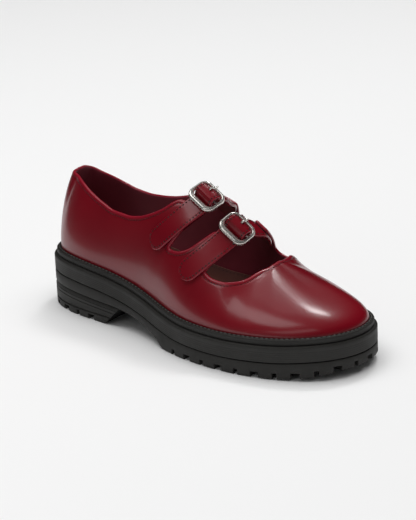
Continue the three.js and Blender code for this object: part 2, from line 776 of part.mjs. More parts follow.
// Joins small loops along a sweep and closes both ends with a fan.
function stackTube(loops) {
  const count = loops[0].length;
  const triangles = [];
  for (let k = 0; k < loops.length - 1; k += 1) {
    for (let i = 0; i < count; i += 1) {
      const next = (i + 1) % count;
      const [a, b, c, d] = [k * count + i, k * count + next, (k + 1) * count + next, (k + 1) * count + i];
      triangles.push(a, c, b, a, d, c);
    }
  }
  const end = (loops.length - 1) * count;
  for (let i = 1; i < count - 1; i += 1) triangles.push(0, i, i + 1, end, end + i + 1, end + i);
  const body = solid(loops.flat(), triangles);
  return manifold(body).volume() < 0 ? solid(loops.flat(), triangles.reverse()) : body;
}

const strapMiddle = strapLift + strapThickness / 2;
const barLift = strapLift + strapThickness + 3 * gap + buckleThickness / 2; // height of the buckle's middle
const tuckLift = -wall - 2 * gap - strapThickness / 2;
const humpLift = barLift + barRadius + 4 * gap + tabThickness + strapThickness / 2;

// Height of a strap's middle above the skin, at a distance from the buckle's centre bar.
function strapRise(strap, distance) {
  const fromBar = distance - strap.buckle;
  const hump = through(
    [
      { at: -humpStart, up: 0 },
      { at: -humpBack, up: 1 },
      { at: humpFront, up: 1 },
      { at: humpEnd, up: 0 },
    ],
    "up",
  )(fromBar);
  const under = through(
    [
      { at: 0, up: strapMiddle },
      { at: buckleReach + buckleFarBar / 2, up: strapMiddle - strapSag },
      { at: (strap.ear - strap.buckle) / 2 + earCover, up: tuckLift - strapSag },
      { at: strap.ear - strap.buckle - earCover, up: tuckLift },
    ],
    "up",
  )(fromBar);
  return under + hump * (humpLift - strapMiddle);
}

function strapGeometry(strap, way) {
  const half = strapWidth / 2;
  const tipSteps = [0, 0.08, 0.25, 0.5, 0.75, 1].map((s) => strap.tip + s * half);
  const steps = [...tipSteps];
  const hump = [strap.buckle - buckleReach, strap.buckle + buckleReach];
  for (let d = strap.tip + half + strapStep; d < hump[0] - stepClearance; d += strapStep) steps.push(d);
  for (let d = hump[0]; d <= hump[1]; d += humpStep) steps.push(d);
  for (let d = hump[1] + bendStep; d < strap.base; d += bendStep) steps.push(d);
  const course = steps.map((distance) => [distance, strapRise(strap, distance)]);
  const halfWidth = (distance) => {
    const fromEnd = Math.min(distance - strap.tip, half);
    return Math.max(Math.sqrt(half ** 2 - (half - fromEnd) ** 2), half / 5);
  };
  const holeRadius = 2.2 * prongRadius;
  const hole = new THREE.CylinderGeometry(holeRadius, holeRadius, punchLength, 10);
  const at = way(strap.buckle + prongHole, humpLift);
  hole.applyMatrix4(new THREE.Matrix4().makeBasis(at.side, at.out, at.side.clone().cross(at.out)));
  hole.translate(at.point.x, at.point.y, at.point.z);
  return fromManifold(manifold(band(way, course, strapThickness, halfWidth)).subtract(manifold(hole)));
}

// Corner-rounded rectangle as a counterclockwise loop, shifted along the strap.
function roundedLoop(halfAcross, halfAlong, radius, shift, height) {
  const perCorner = 6;
  return Array.from({ length: 4 * (perCorner + 1) }, (_, i) => {
    const corner = Math.floor(i / (perCorner + 1));
    const angle = ((corner + (i % (perCorner + 1)) / perCorner) * Math.PI) / 2;
    const signX = corner === 0 || corner === 3 ? 1 : -1;
    const signY = corner < 2 ? 1 : -1;
    const x = signX * (halfAcross - radius) + radius * Math.cos(angle);
    const y = signY * (halfAlong - radius) + radius * Math.sin(angle) + shift;
    return new THREE.Vector3(x, y, height);
  });
}

function buckleGeometry() {
  const innerAcross = strapWidth / 2 + sideClearance;
  const outerAcross = innerAcross + buckleSide;
  const outerAlong = buckleReach + (buckleFarBar + buckleNearBar) / 2;
  const outerShift = (buckleFarBar - buckleNearBar) / 2;
  const half = buckleThickness / 2;
  const innerRound = buckleRound - buckleSide;
  const crown = (k, height) =>
    roundedLoop(
      THREE.MathUtils.lerp(innerAcross, outerAcross, k),
      THREE.MathUtils.lerp(buckleReach, outerAlong, k),
      THREE.MathUtils.lerp(innerRound, buckleRound, k),
      outerShift * k,
      height,
    );
  const frame = stack(
    [crown(0.85, -half), crown(1, -half / 3), crown(0.85, half * 0.6), crown(0.5, half), crown(0.15, half * 0.6), crown(0, -half / 3), crown(0.15, -half)],
    true,
  );
  const bar = new THREE.CylinderGeometry(barRadius, barRadius, 2 * innerAcross + buckleSide, 8);
  bar.rotateZ(Math.PI / 2);
  return fromManifold(manifold(frame).add(manifold(bar)));
}

// Where a buckle stands: across the strap, along it towards the inner side, and out from the shoe.
function buckleFrame(strap, way) {
  const at = way(strap.buckle, barLift);
  return new THREE.Matrix4().makeBasis(at.side, at.along, at.side.clone().cross(at.along)).setPosition(at.point);
}

// The prong hooks under the centre bar, comes up through the strap's hole and rests on the far bar.
function prongGeometry() {
  const hook = barRadius + gap + prongRadius;
  const rest = buckleThickness / 2 + gap + prongRadius;
  const over = humpLift - barLift + strapThickness / 2 + gap + prongRadius;
  const course = [
    [-hook * 0.6, -hook * 0.8],
    [0, -hook],
    [hook * 0.7, -hook * 0.7],
    [hook, 0.5],
    [prongHole - 0.1, over / 2],
    [prongHole + 0.4, over - 0.6],
    [prongHole + 1.3, over - 0.1],
    [prongHole + 2.5, (over + rest) / 2 + 0.3],
    [buckleReach - 0.5, rest + 0.7],
    [buckleReach + buckleFarBar / 2, rest + 0.05],
    [buckleReach + buckleFarBar + 1, rest - 0.35],
  ].map(([along, up]) => new THREE.Vector3(0, along, up));
  const outline = new THREE.Shape().absarc(0, 0, prongRadius, 0, 2 * Math.PI);
  return new THREE.ExtrudeGeometry(outline, {
    steps: 18,
    curveSegments: 4,
    extrudePath: new THREE.CatmullRomCurve3(course),
  });
}

// The tab is sewn inside the outer ear and wraps the buckle's centre bar, with a slot for the prong.
function tabGeometry(strap, way) {
  const wrap = barRadius + gap + tabThickness / 2;
  const inner = -wall - 3 * gap - tabThickness / 2;
  const course = [
    ...tabTable.map(({ at, rise }) => [-at * tabReach, inner + rise * gap]),
    [-tabReach * 0.1692, -2 * gap],
    [-tabReach * 0.1, 3 * gap],
    [-wrap * 0.8, barLift - wrap * 1.1],
    [0, barLift - wrap],
    [wrap * 0.75, barLift - wrap * 0.75],
    [wrap, barLift],
    [wrap * 0.7, barLift + wrap * 0.7],
    [0, barLift + wrap],
    [-wrap * 0.7, barLift + wrap * 0.7],
    [-wrap * 1.1, barLift + (2 * gap) / 3],
  ].map(([along, lift]) => [strap.buckle + along, lift]);
  const body = manifold(band(way, course, tabThickness, () => tabWidth / 2));
  const slot = new THREE.BoxGeometry(2 * prongRadius + sideClearance, tabSlot, punchLength);
  slot.translate(0, sideClearance / 2, 0);
  slot.applyMatrix4(buckleFrame(strap, way));
  return fromManifold(body.subtract(manifold(slot)));
}

function named(name, geometry, material) {
  const mesh = new THREE.Mesh(geometry, material);
  mesh.name = name;
  return mesh;
}

const shoe = new THREE.Group();
shoe.add(
  named("outsole", outsoleGeometry(), rubber),
  named("heel_block", heelGeometry(), rubber),
  named("midsole", midsoleGeometry(), rubber),
  named("welt", weltGeometry(), rubber),
  named("insole", insoleGeometry(), lining),
  named("upper", upperGeometry(), leather),
  named("back_strip", backStripGeometry(), leather),
);
for (const strap of straps) {
  const way = strapWay(strap);
  const buckle = new THREE.Group();
  buckle.applyMatrix4(buckleFrame(strap, way));
  buckle.add(
    named(`${strap.name}_buckle`, buckleGeometry(), steel),
    named(`${strap.name}_prong`, prongGeometry(), steel),
  );
  shoe.add(
    named(`${strap.name}_strap`, strapGeometry(strap, way), leather),
    named(`${strap.name}_tab`, tabGeometry(strap, way), leather),
    buckle,
  );
}

export default shoe;
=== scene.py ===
"""A burgundy mary jane shoe: polished leather upper, two buckled straps and a lugged rubber sole.

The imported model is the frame. The shoe's form is worked out here from the same sizes and short tables as
the frame's own solids, with a finer mesh, and each fine piece stands for its node. Lengths are millimetres
until a mesh is made, and metres in Blender.
"""
from __future__ import annotations

import logging
import math
from collections.abc import Callable, Sequence
from dataclasses import dataclass, field
from enum import Enum

import bmesh
import bpy
import numpy as np
from mathutils import Matrix, Vector
from mathutils.kdtree import KDTree

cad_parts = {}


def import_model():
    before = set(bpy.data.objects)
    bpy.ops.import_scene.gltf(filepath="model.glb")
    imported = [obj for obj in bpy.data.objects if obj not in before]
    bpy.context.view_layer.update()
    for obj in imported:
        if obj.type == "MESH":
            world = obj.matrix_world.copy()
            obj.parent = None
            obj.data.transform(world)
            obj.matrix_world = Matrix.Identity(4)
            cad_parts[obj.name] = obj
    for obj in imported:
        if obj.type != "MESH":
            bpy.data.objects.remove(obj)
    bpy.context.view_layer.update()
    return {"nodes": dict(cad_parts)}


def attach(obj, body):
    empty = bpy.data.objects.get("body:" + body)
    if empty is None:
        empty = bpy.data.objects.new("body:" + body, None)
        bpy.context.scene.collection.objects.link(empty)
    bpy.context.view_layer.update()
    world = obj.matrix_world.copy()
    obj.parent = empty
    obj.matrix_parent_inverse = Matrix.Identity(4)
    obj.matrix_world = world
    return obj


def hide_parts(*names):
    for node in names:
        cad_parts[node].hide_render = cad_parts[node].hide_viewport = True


LOG = logging.getLogger("shoe")
HAIR = 0.02  # mm, the least distance between faces that would coincide
METRE = 0.001
ROOT = "root"
Curve = Callable[[np.ndarray], np.ndarray]


@dataclass(frozen=True)
class Table:
    """A short table of shares with named columns, its first column saying where each row stands."""

    columns: str
    rows: tuple[tuple[float, ...], ...]

    def column(self, name: str) -> np.ndarray:
        """Returns one column's values."""
        return np.array(self.rows, float)[:, self.columns.split().index(name)]

    def curve(self, name: str) -> Curve:
        """Joins a column's values with a smooth line without overshoot, level at both ends.

        Args:
            name: the column.

        Returns:
            A function of where to read the line.
        """
        return monotone(self.column("at"), self.column(name))


def monotone(at: np.ndarray, value: np.ndarray) -> Curve:
    """Makes a smooth line without overshoot through values.

    Args:
        at: where the values stand, rising.
        value: the values.

    Returns:
        A function that reads the line, held at its end values outside.
    """
    span = np.diff(at)
    chord = np.diff(value) / span
    slope = np.zeros(len(at))
    for i in range(1, len(at) - 1):
        before, after = chord[i - 1], chord[i]
        if before * after > 0:
            near, far = span[i - 1], span[i]
            slope[i] = 3 * (near + far) / ((2 * far + near) / before + (far + 2 * near) / after)

    def read(where: np.ndarray) -> np.ndarray:
        """Reads the line.

        Args:
            where: the places.

        Returns:
            The line's height at each place.
        """
        x = np.clip(np.asarray(where, float), at[0], at[-1])
        i = np.clip(np.searchsorted(at, x, side="left") - 1, 0, len(span) - 1)
        s = (x - at[i]) / span[i]
        rest = 1 - s
        return (
            (1 + 2 * s) * rest * rest * value[i]
            + s * rest * rest * span[i] * slope[i]
            + s * s * (3 - 2 * s) * value[i + 1]
            + s * s * (s - 1) * span[i] * slope[i + 1]
        )

    return read


def closed_spline(knots: np.ndarray, values: np.ndarray) -> Curve:
    """Makes a closed cubic spline through values.

    Args:
        knots: where the values stand, one more than there are values, the last for the first value again.
        values: the values.

    Returns:
        A function that reads the spline between the first and the last knot.
    """
    count = len(values)
    step = np.diff(knots)
    bend = np.zeros(count)
    for _ in range(60):
        for i in range(count):
            before, after = (i - 1) % count, (i + 1) % count
            turn = (values[after] - values[i]) / step[i] - (values[i] - values[before]) / step[before]
            pull = step[before] * bend[before] + step[i] * bend[after]
            bend[i] = (6 * turn - pull) / (2 * (step[before] + step[i]))

    def read(where: np.ndarray) -> np.ndarray:
        """Reads the spline.

        Args:
            where: the places.

        Returns:
            The spline's value at each place.
        """
        i = np.clip(np.searchsorted(knots[1:], where, side="left"), 0, count - 1)
        after = (i + 1) % count
        a = (knots[i + 1] - where) / step[i]
        b = (where - knots[i]) / step[i]
        bow = ((a**3 - a) * bend[i] + (b**3 - b) * bend[after]) * step[i] ** 2 / 6
        return a * values[i] + b * values[after] + bow

    return read


def flat(height: float) -> Curve:
    """Returns a level height, as a function of where along the sole it is read."""
    return lambda x: np.full(np.shape(x), height)


def unit(vectors: np.ndarray) -> np.ndarray:
    """Returns the vectors at length 1."""
    return vectors / np.maximum(np.linalg.norm(vectors, axis=-1, keepdims=True), 1e-12)


PLAN = Table(
    "at outer inner",
    (
        (0.03, 0.44, 0.44),
        (0.11, 0.647, 0.665),
        (0.25, 0.709, 0.67),
        (0.4, 0.774, 0.7),
        (0.55, 0.961, 0.88),
        (0.68, 1.01, 0.995),
        (0.8, 0.926, 0.945),
        (0.9, 0.727, 0.757),
        (0.968, 0.438, 0.52),
    ),
)
SEAT = Table(
    "at drop rise",
    (
        (0, 0, 0),
        (0.12, 0.025, 0),
        (0.24, 0.153, 0),
        (0.34, 0.37, 0),
        (0.42, 0.61, 0),
        (0.5, 0.834, 0),
        (0.58, 0.968, 0),
        (0.68, 1, 0),
        (0.84, 1, 0.34),
        (1, 1, 1),
    ),
)
UNDERSIDE = Table(
    "at lift spring",
    (
        (0, 0.68, 0),
        (0.24, 0.66, 0),
        (0.34, 0.7, 0),
        (0.42, 0.62, 0),
        (0.475, 0.4, 0),
        (0.505, 0, 0),
        (0.75, 0, 0),
        (0.85, 0, 0.11),
        (0.93, 0, 0.39),
        (1, 0, 1),
    ),
)
RIDGE = Table(
    "at height side",
    (
        (0.14, 1.16, 0),
        (0.35, 1.15, 0.03),
        (0.46, 1.1, 0.07),
        (0.55, 1, 0.1),
        (0.645, 0.79, 0.13),
        (0.7, 0.61, 0.15),
        (0.76, 0.57, 0.16),
    ),
)
SECTION = Table(
    "at spine bulge rise run",
    (
        (0, 0.14, 0.7, 0.4, 0.5),
        (0.05, 0.145, 0.35, 0.43, 0.38),
        (0.1, 0.155, 0.2, 0.4, 0.64),
        (0.22, 0.2, 0.5, 0.42, 0.62),
        (0.35, 0.3, 0.5, 0.45, 0.52),
        (0.5, 0.49, 0.4, 0.46, 0.56),
        (0.6, 0.61, 0.3, 0.42, 0.68),
        (0.7, 0.68, 0.3, 0.41, 0.72),
        (0.8, 0.7, 0.2, 0.4, 0.72),
        (0.9, 0.7, -0.3, 0.43, 0.67),
        (1, 0.7, -0.2, 0.42, 0.63),
    ),
)
LEAN = Table("at lean", ((0, 0), (0.1, 0.06), (0.36, 0.18), (0.5, 0.12), (0.6, 0.08), (0.75, 0), (1, 0)))
OUTER_TOPLINE = Table(
    "at up",
    (
        (0, 0.59), (0.035, 0.566), (0.075, 0.55), (0.106, 0.525), (0.141, 0.485), (0.183, 0.436),
        (0.218, 0.406), (0.247, 0.407), (0.273, 0.432), (0.293, 0.486), (0.308, 0.56), (0.318, 0.653),
        (0.324, 0.68), (0.335, 0.69), (0.36, 0.69), (0.369, 0.56), (0.376, 0.37), (0.386, 0.354),
        (0.408, 0.368), (0.428, 0.407), (0.439, 0.46), (0.445, 0.55), (0.449, 0.64), (0.458, 0.665),
        (0.503, 0.665), (0.513, 0.55), (0.524, 0.388), (0.547, 0.379), (0.585, 0.405), (0.619, 0.491),
        (0.666, 0.612), (0.739, 0.784), (0.793, 0.88), (0.9, 0.935), (1, 0.953),
    ),
)
INNER_TOPLINE = Table(
    "at up",
    (
        (0, 0.59), (0.041, 0.54), (0.063, 0.511), (0.092, 0.463), (0.123, 0.415), (0.154, 0.379),
        (0.187, 0.37), (0.216, 0.382), (0.243, 0.406), (0.27, 0.45), (0.3, 0.52), (0.322, 0.58),
        (0.335, 0.6), (0.372, 0.6), (0.38, 0.5), (0.388, 0.37), (0.4, 0.35), (0.42, 0.355),
        (0.436, 0.4), (0.45, 0.52), (0.464, 0.6), (0.508, 0.61), (0.517, 0.5), (0.527, 0.34),
        (0.55, 0.3), (0.585, 0.3), (0.62, 0.564), (0.66, 0.658), (0.7, 0.724), (0.735, 0.792),
        (0.77, 0.867), (0.81, 0.906), (0.87, 0.934), (0.93, 0.948), (1, 0.953),
    ),
)


@dataclass
class SoleForm:
    """The sole's plan and the heights of its layers."""

    length: float = 268.0
    width: float = 106.0
    heel_seat: float = 41.0
    ball_seat: float = 25.3
    toe_seat: float = 29.4
    toe_spring: float = 6.0
    welt_setback: float = 2.0
    welt_margin: float = 5.2
    welt_thickness: float = 4.0
    midsole_thickness: float = 11.0
    gap: float = 0.3
    toe_centre: float = 0.05

    def __post_init__(self) -> None:
        """Works out the closed edge of the sole."""
        outer = np.stack([PLAN.column("at") - 0.5, -PLAN.column("outer") / 2], 1)
        inner = np.stack([PLAN.column("at") - 0.5, PLAN.column("inner") / 2], 1)[::-1]
        points = np.vstack([[-0.5, 0], outer, [0.5, self.toe_centre / 2], inner])
        scale = np.array([self.length, self.width])
        steps = np.linalg.norm((np.roll(points, -1, 0) - points) * scale, axis=1)
        knots = np.concatenate([[0], np.cumsum(steps)])
        self._curves = [closed_spline(knots, points[:, axis]) for axis in (0, 1)]
        self._total = knots[-1]
        self._samples = 720
        where = np.linspace(0, self._total, self._samples + 1)
        raw = np.stack([curve(where) for curve in self._curves], 1)
        self._low, self._high = raw.min(0), raw.max(0)
        placed = self._place(where)
        self._walked = np.concatenate([[0], np.cumsum(np.linalg.norm(np.diff(placed, axis=0), axis=1))])
        self._toe = int(np.argmax(raw[:, 0]))
        self._seat = {name: SEAT.curve(name) for name in ("drop", "rise")}
        self._under = {name: UNDERSIDE.curve(name) for name in ("lift", "spring")}

    def _place(self, knot: np.ndarray) -> np.ndarray:
        """Stretches the edge to the sole's length and width.

        Args:
            knot: where on the spline.

        Returns:
            The edge's points there.
        """
        raw = np.stack([curve(knot) for curve in self._curves], -1)
        shares = (raw - self._low) / (self._high - self._low) - 0.5
        return shares * np.array([self.length, self.width])

    def edge(self, turn: np.ndarray) -> tuple[np.ndarray, np.ndarray]:
        """Finds places on the sole's edge.

        Args:
            turn: 0 at the heel, over 0.5 at the toe along the outer side, to 1 at the heel again.

        Returns:
            The points, and the directions out from the sole.
        """
        turn = np.asarray(turn, float) % 1
        toe, end = self._walked[self._toe], self._walked[-1]
        distance = np.where(turn < 0.5, 2 * turn * toe, toe + (2 * turn - 1) * (end - toe))
        knot = np.interp(distance, self._walked, np.linspace(0, self._total, self._samples + 1))
        nudge = self._total / 4000
        ahead = self._place((knot + nudge) % self._total)
        behind = self._place((knot - nudge) % self._total)
        along = unit(ahead - behind)
        return self._place(knot), np.stack([along[..., 1], -along[..., 0]], -1)

    def share(self, x: np.ndarray) -> np.ndarray:
        """Returns how far along the sole a place is, from 0 to 1."""
        return x / self.length + 0.5

    def seat(self, x: np.ndarray) -> np.ndarray:
        """Works out the height of the welt's top.

        Args:
            x: how far along the sole.

        Returns:
            The height there.
        """
        at = self.share(x)
        fall = self._seat["drop"](at) * (self.heel_seat - self.ball_seat)
        return self.heel_seat - fall + self._seat["rise"](at) * (self.toe_seat - self.ball_seat)

    def welt_bottom(self, x: np.ndarray) -> np.ndarray:
        """Returns the height of the welt's underside."""
        return self.seat(x) - self.welt_thickness

    def midsole_top(self, x: np.ndarray) -> np.ndarray:
        """Returns the height of the midsole's top."""
        return self.welt_bottom(x) - self.gap

    def midsole_bottom(self, x: np.ndarray) -> np.ndarray:
        """Returns the height of the midsole's underside."""
        return self.midsole_top(x) - self.midsole_thickness

    def outsole_top(self, x: np.ndarray) -> np.ndarray:
        """Returns the height of the outsole's top."""
        return self.midsole_bottom(x) - self.gap

    def outsole_bottom(self, x: np.ndarray) -> np.ndarray:
        """Returns the height of the tread, and of the arch over the floor."""
        at = self.share(x)
        return self._under["lift"](at) * self.outsole_top(x) + self._under["spring"](at) * self.toe_spring

    def inside(self, turn: np.ndarray, inset: float, height: Curve) -> np.ndarray:
        """Finds points at a distance in from the sole's edge.

        Args:
            turn: where round the edge.
            inset: how far in.
            height: the height, as a function of how far along the sole the point is.

        Returns:
            The points.
        """
        point, out = self.edge(turn)
        flat = point - out * inset
        return np.concatenate([flat, np.asarray(height(flat[..., 0]))[..., None]], -1)


@dataclass
class LastForm(SoleForm):
    """The skin of the upper over the last."""

    last_height: float = 98.0
    wall: float = 2.2

    def __post_init__(self) -> None:
        """Reads the last's tables."""
        super().__post_init__()
        self._ridge = {name: RIDGE.curve(name) for name in ("height", "side")}
        self._section = {name: SECTION.curve(name) for name in ("spine", "bulge", "rise", "run")}
        self._lean = LEAN.curve("lean")
        self._topline = (OUTER_TOPLINE.curve("up"), INNER_TOPLINE.curve("up"))

    @staticmethod
    def way(turn: np.ndarray) -> np.ndarray:
        """Returns how far round from heel to toe a turn is, on either side."""
        return 1 - np.abs(1 - 2 * (np.asarray(turn, float) % 1))

    def topline(self, turn: np.ndarray) -> np.ndarray:
        """Reads how far up the upper reaches.

        Args:
            turn: where round the foot of the upper.

        Returns:
            The share of the way from the welt to the ridge.
        """
        turn = np.asarray(turn, float)
        way = self.way(turn)
        return np.where(turn % 1 <= 0.5, self._topline[0](way), self._topline[1](way))

    def last(self, turn: np.ndarray, up: np.ndarray) -> np.ndarray:
        """Finds points of the last's surface.

        Args:
            turn: where round the welt.
            up: how far up, from 0 at the welt's line to 1 at the ridge.

        Returns:
            The points, on curves that bulge out over the welt and run level into the ridge.
        """
        foot = self.inside(turn, self.welt_margin, lambda x: self.seat(x) + self.gap)
        way = self.way(turn)
        spine = self._section["spine"](way)
        crest = np.stack(
            [
                (spine - 0.5) * self.length,
                self._ridge["side"](spine) * self.width / 2,
                self._ridge["height"](spine) * self.last_height,
            ],
            -1,
        )
        across = crest - foot
        reach = np.hypot(across[..., 0], across[..., 1])
        run = self._section["run"](way)
        step = 0.01
        rise = self._ridge["height"](spine + step) - self._ridge["height"](spine - step)
        slope = rise * self.last_height / (2 * step * self.length)
        lift = 1 - slope * across[..., 0] * (1 - run) / across[..., 2]
        first, second = 3 * up * (1 - up) ** 2, 3 * up**2 * (1 - up)
        inward = first * (-self._section["bulge"](way) * self.welt_margin / reach) + second * run + up**3
        upward = first * self._section["rise"](way) + second * lift + up**3
        return foot + across * np.stack([inward, inward, upward], -1)

    def skin(
        self, turn: np.ndarray, up: np.ndarray, offset: float | np.ndarray = 0.0
    ) -> tuple[np.ndarray, np.ndarray]:
        """Finds places on the upper's skin, along lines that lean towards the toe.

        Args:
            turn: where round the foot of the upper.
            up: how far up, from 0 at the welt to 1 at the ridge.
            offset: how far out from the last.

        Returns:
            The points, and the directions out from the shoe.
        """
        turn, up = np.broadcast_arrays(np.asarray(turn, float), np.asarray(up, float))
        lean = self._lean(self.way(turn)) * up * (2 - up) / 2
        leaned = np.where(turn % 1 < 0.5, turn + lean, turn - lean)
        small = 1e-3
        across = self.last(leaned + small, up) - self.last(leaned - small, up)
        upwards = self.last(leaned, up + small) - self.last(leaned, up - small)
        out = unit(np.cross(across, upwards))
        return self.last(leaned, up) + out * np.asarray(offset, float)[..., None], out


# Colours


def linear(code: int) -> tuple[float, float, float, float]:
    """Turns an sRGB hex value to linear colour.

    Args:
        code: the colour as 0xRRGGBB.

    Returns:
        Red, green, blue and full alpha.
    """
    parts = [((code >> shift) & 255) / 255 for shift in (16, 8, 0)]
    return (*[p / 12.92 if p <= 0.04045 else ((p + 0.055) / 1.055) ** 2.4 for p in parts], 1.0)


def add_node(
    tree: bpy.types.NodeTree,
    kind: str,
    settings: dict[str, object] | None = None,
    values: dict[str | int, object] | None = None,
    links: dict[str | int, bpy.types.NodeSocket] | None = None,
) -> bpy.types.Node:
    """Adds a node to a tree.

    Args:
        tree: the tree.
        kind: the node's type.
        settings: its properties.
        values: numbers and colours for its sockets.
        links: what its sockets are linked from.

    Returns:
        The node.
    """
    node = tree.nodes.new(kind)
    for name, value in (settings or {}).items():
        setattr(node, name, value)
    for name, value in (values or {}).items():
        node.inputs[name].default_value = value
    for name, source in (links or {}).items():
        tree.links.new(source, node.inputs[name])
    return node


@dataclass(frozen=True)
class Surface:
    """A finish of a mottled colour, an edge colour, gloss and two sizes of relief; the edge colour is painted
    highlight on rolled leather edges and the insole's real paler cut edge.
    """

    name: str
    dark: int
    light: int
    # the edge colour: painted highlight on the calf's and lining's rolled edges, the real paler cut edge on
    # the insole
    edge: int
    roughness: tuple[float, float]
    patch: float  # mm, size of the colour's clouds
    swell: float  # mm, size of the broad relief
    swell_depth: float  # mm
    grain: float  # mm, size of the fine relief
    grain_depth: float  # mm
    coat: float = 0.0
    coat_roughness: float = 0.1
    metallic: float = 0.0
    sheen: float = 0.0
    specular: float = 0.5

    def build(self) -> bpy.types.Material:
        """Makes the material.

        Returns:
            The material, on Object coordinates.
        """
        material = bpy.data.materials.new(self.name)
        material.use_nodes = True
        tree = material.node_tree
        tree.nodes.clear()
        place = add_node(tree, "ShaderNodeTexCoord").outputs["Object"]

        def cloud(size: float, detail: float) -> bpy.types.NodeSocket:
            """Adds a noise.

            Args:
                size: how many millimetres its clouds are across.
                detail: how many finer layers it has.

            Returns:
                Its value.
            """
            noise = add_node(
                tree,
                "ShaderNodeTexNoise",
                values={"Scale": 1 / (size * METRE), "Detail": detail, "Roughness": 0.55},
                links={"Vector": place},
            )
            return noise.outputs["Fac"]

        patches = cloud(self.patch, 3.0)
        base = add_node(
            tree,
            "ShaderNodeMix",
            {"data_type": "RGBA"},
            {6: linear(self.dark), 7: linear(self.light)},
            {0: patches},
        ).outputs[2]
        # the "edge" attribute mixes in the edge colour: painted highlight on rolled leather edges, the
        # insole's real paler cut edge
        edge_tint_and_highlight = add_node(tree, "ShaderNodeAttribute", {"attribute_name": "edge"}).outputs["Fac"]
        base = add_node(
            tree, "ShaderNodeMix", {"data_type": "RGBA"}, {7: linear(self.edge)}, {0: edge_tint_and_highlight, 6: base}
        ).outputs[2]
        gloss = add_node(
            tree,
            "ShaderNodeMapRange",
            {"clamp": False},
            {"From Min": 0.3, "From Max": 0.7, "To Min": self.roughness[0], "To Max": self.roughness[1]},
            {"Value": cloud(self.swell * 1.7, 2.0)},
        ).outputs["Result"]
        relief = add_node(
            tree,
            "ShaderNodeBump",
            values={"Strength": 1.0, "Distance": self.swell_depth * METRE},
            links={"Height": cloud(self.swell, 1.0)},
        ).outputs["Normal"]
        relief = add_node(
            tree,
            "ShaderNodeBump",
            values={"Strength": 1.0, "Distance": self.grain_depth * METRE},
            links={"Height": cloud(self.grain, 2.0), "Normal": relief},
        ).outputs["Normal"]
        shader = add_node(
            tree,
            "ShaderNodeBsdfPrincipled",
            values={
                "Metallic": self.metallic,
                "Coat Weight": self.coat,
                "Coat Roughness": self.coat_roughness,
                "Sheen Weight": self.sheen,
                "Specular IOR Level": self.specular,
            },
            links={"Base Color": base, "Roughness": gloss, "Normal": relief},
        )
        add_node(tree, "ShaderNodeOutputMaterial", links={"Surface": shader.outputs["BSDF"]})
        return material


class Finish(Enum):
    """The shoe's finishes, each named for its material and how its surface was made."""

    # Box calf with a polished resin top: deep wine red, smooth, with a clear mirror over a soft base gloss.
    # Its lighter edge colour is a painted highlight on the rolled top line, the fold, and the heel strip's
    # and straps' edges.
    CALF = Surface(
        "polished_box_calf", 0x640010, 0x7E0216, 0x9C142E, (0.36, 0.42), 55, 30, 0.02, 0.9, 0.004,
        coat=0.6, coat_roughness=0.18, specular=0.3,
    )
    # The same leather's cut and inked edges.
    CALF_EDGE = Surface(
        "inked_calf_edge", 0x4A0210, 0x64081A, 0x4A0210, (0.42, 0.5), 20, 3, 0.03, 0.6, 0.01, coat=0.1
    )
    # Pigskin lining, matt, dark wine; its lighter edge colour is a painted highlight where the fold turns in.
    LINING = Surface(
        "matt_pigskin_lining", 0x7A1C2E, 0x8C2638, 0x983048, (0.6, 0.72), 25, 6, 0.08, 0.7, 0.03,
        sheen=0.15,
    )
    # Insole cover, dark brown leather with a paler cut edge.
    SOCK = Surface(
        "brown_insole_leather", 0x462620, 0x58322A, 0xA07868, (0.5, 0.62), 30, 8, 0.1, 0.8, 0.03, coat=0.08
    )
    # Bonded polyester burgundy thread, its colour painted darker than the leather as painted shade of the
    # stitch holes.
    THREAD = Surface(
        "burgundy_thread_painted_shade", 0x140004, 0x26020A, 0x140004, (0.5, 0.6), 4, 1.2, 0.03, 0.4, 0.03, sheen=0.1
    )
    # Waxed black thread of the welt, paler than the rubber.
    BLACK_THREAD = Surface(
        "waxed_black_thread", 0x3E3C3A, 0x504E4B, 0x3E3C3A, (0.4, 0.5), 4, 1.2, 0.03, 0.4, 0.03
    )
    # Moulded rubber straight from the tool: matt charcoal with a fine sparked skin.
    RUBBER = Surface(
        "moulded_matt_rubber", 0x201F1D, 0x2B2A28, 0x2E2E2C, (0.54, 0.66), 40, 9, 0.05, 0.55, 0.035,
        specular=0.35,
    )
    # Zinc alloy, tumbled and nickel plated: a soft mirror. It is a little less than all metal, since so small
    # a piece shows the pale room round it.
    NICKEL = Surface(
        "polished_nickel_plate", 0xE4E1DA, 0xEFECE6, 0xEFECE6, (0.18, 0.24), 20, 6, 0.02, 1.5, 0.002,
        metallic=0.8,
    )

    def material(self) -> bpy.types.Material:
        """Returns the finish's material, made once."""
        return bpy.data.materials.get(self.value.name) or self.value.build()


# Meshes


def grid_faces(rows: int, columns: int, wrap: bool = True) -> np.ndarray:
    """Lists the four-sided faces of a grid of points.

    Args:
        rows: how many rows of points.
        columns: how many points in a row.
        wrap: whether a row's last point joins its first.

    Returns:
        Four indices for each face.
    """
    across = np.arange(columns if wrap else columns - 1)
    lower = np.arange(rows - 1)[:, None] * columns
    after = (across + 1) % columns
    corners = [lower + across, lower + after, lower + columns + after, lower + columns + across]
    return np.stack(corners, -1).reshape(-1, 4)


def add_object(name: str, data: bpy.types.ID) -> bpy.types.Object:
    """Puts data in the scene.

    Args:
        name: the object's name.
        data: its mesh, lamp or camera.

    Returns:
        The object, at the origin.
    """
    placed = bpy.data.objects.new(name, data)
    bpy.context.scene.collection.objects.link(placed)
    return placed


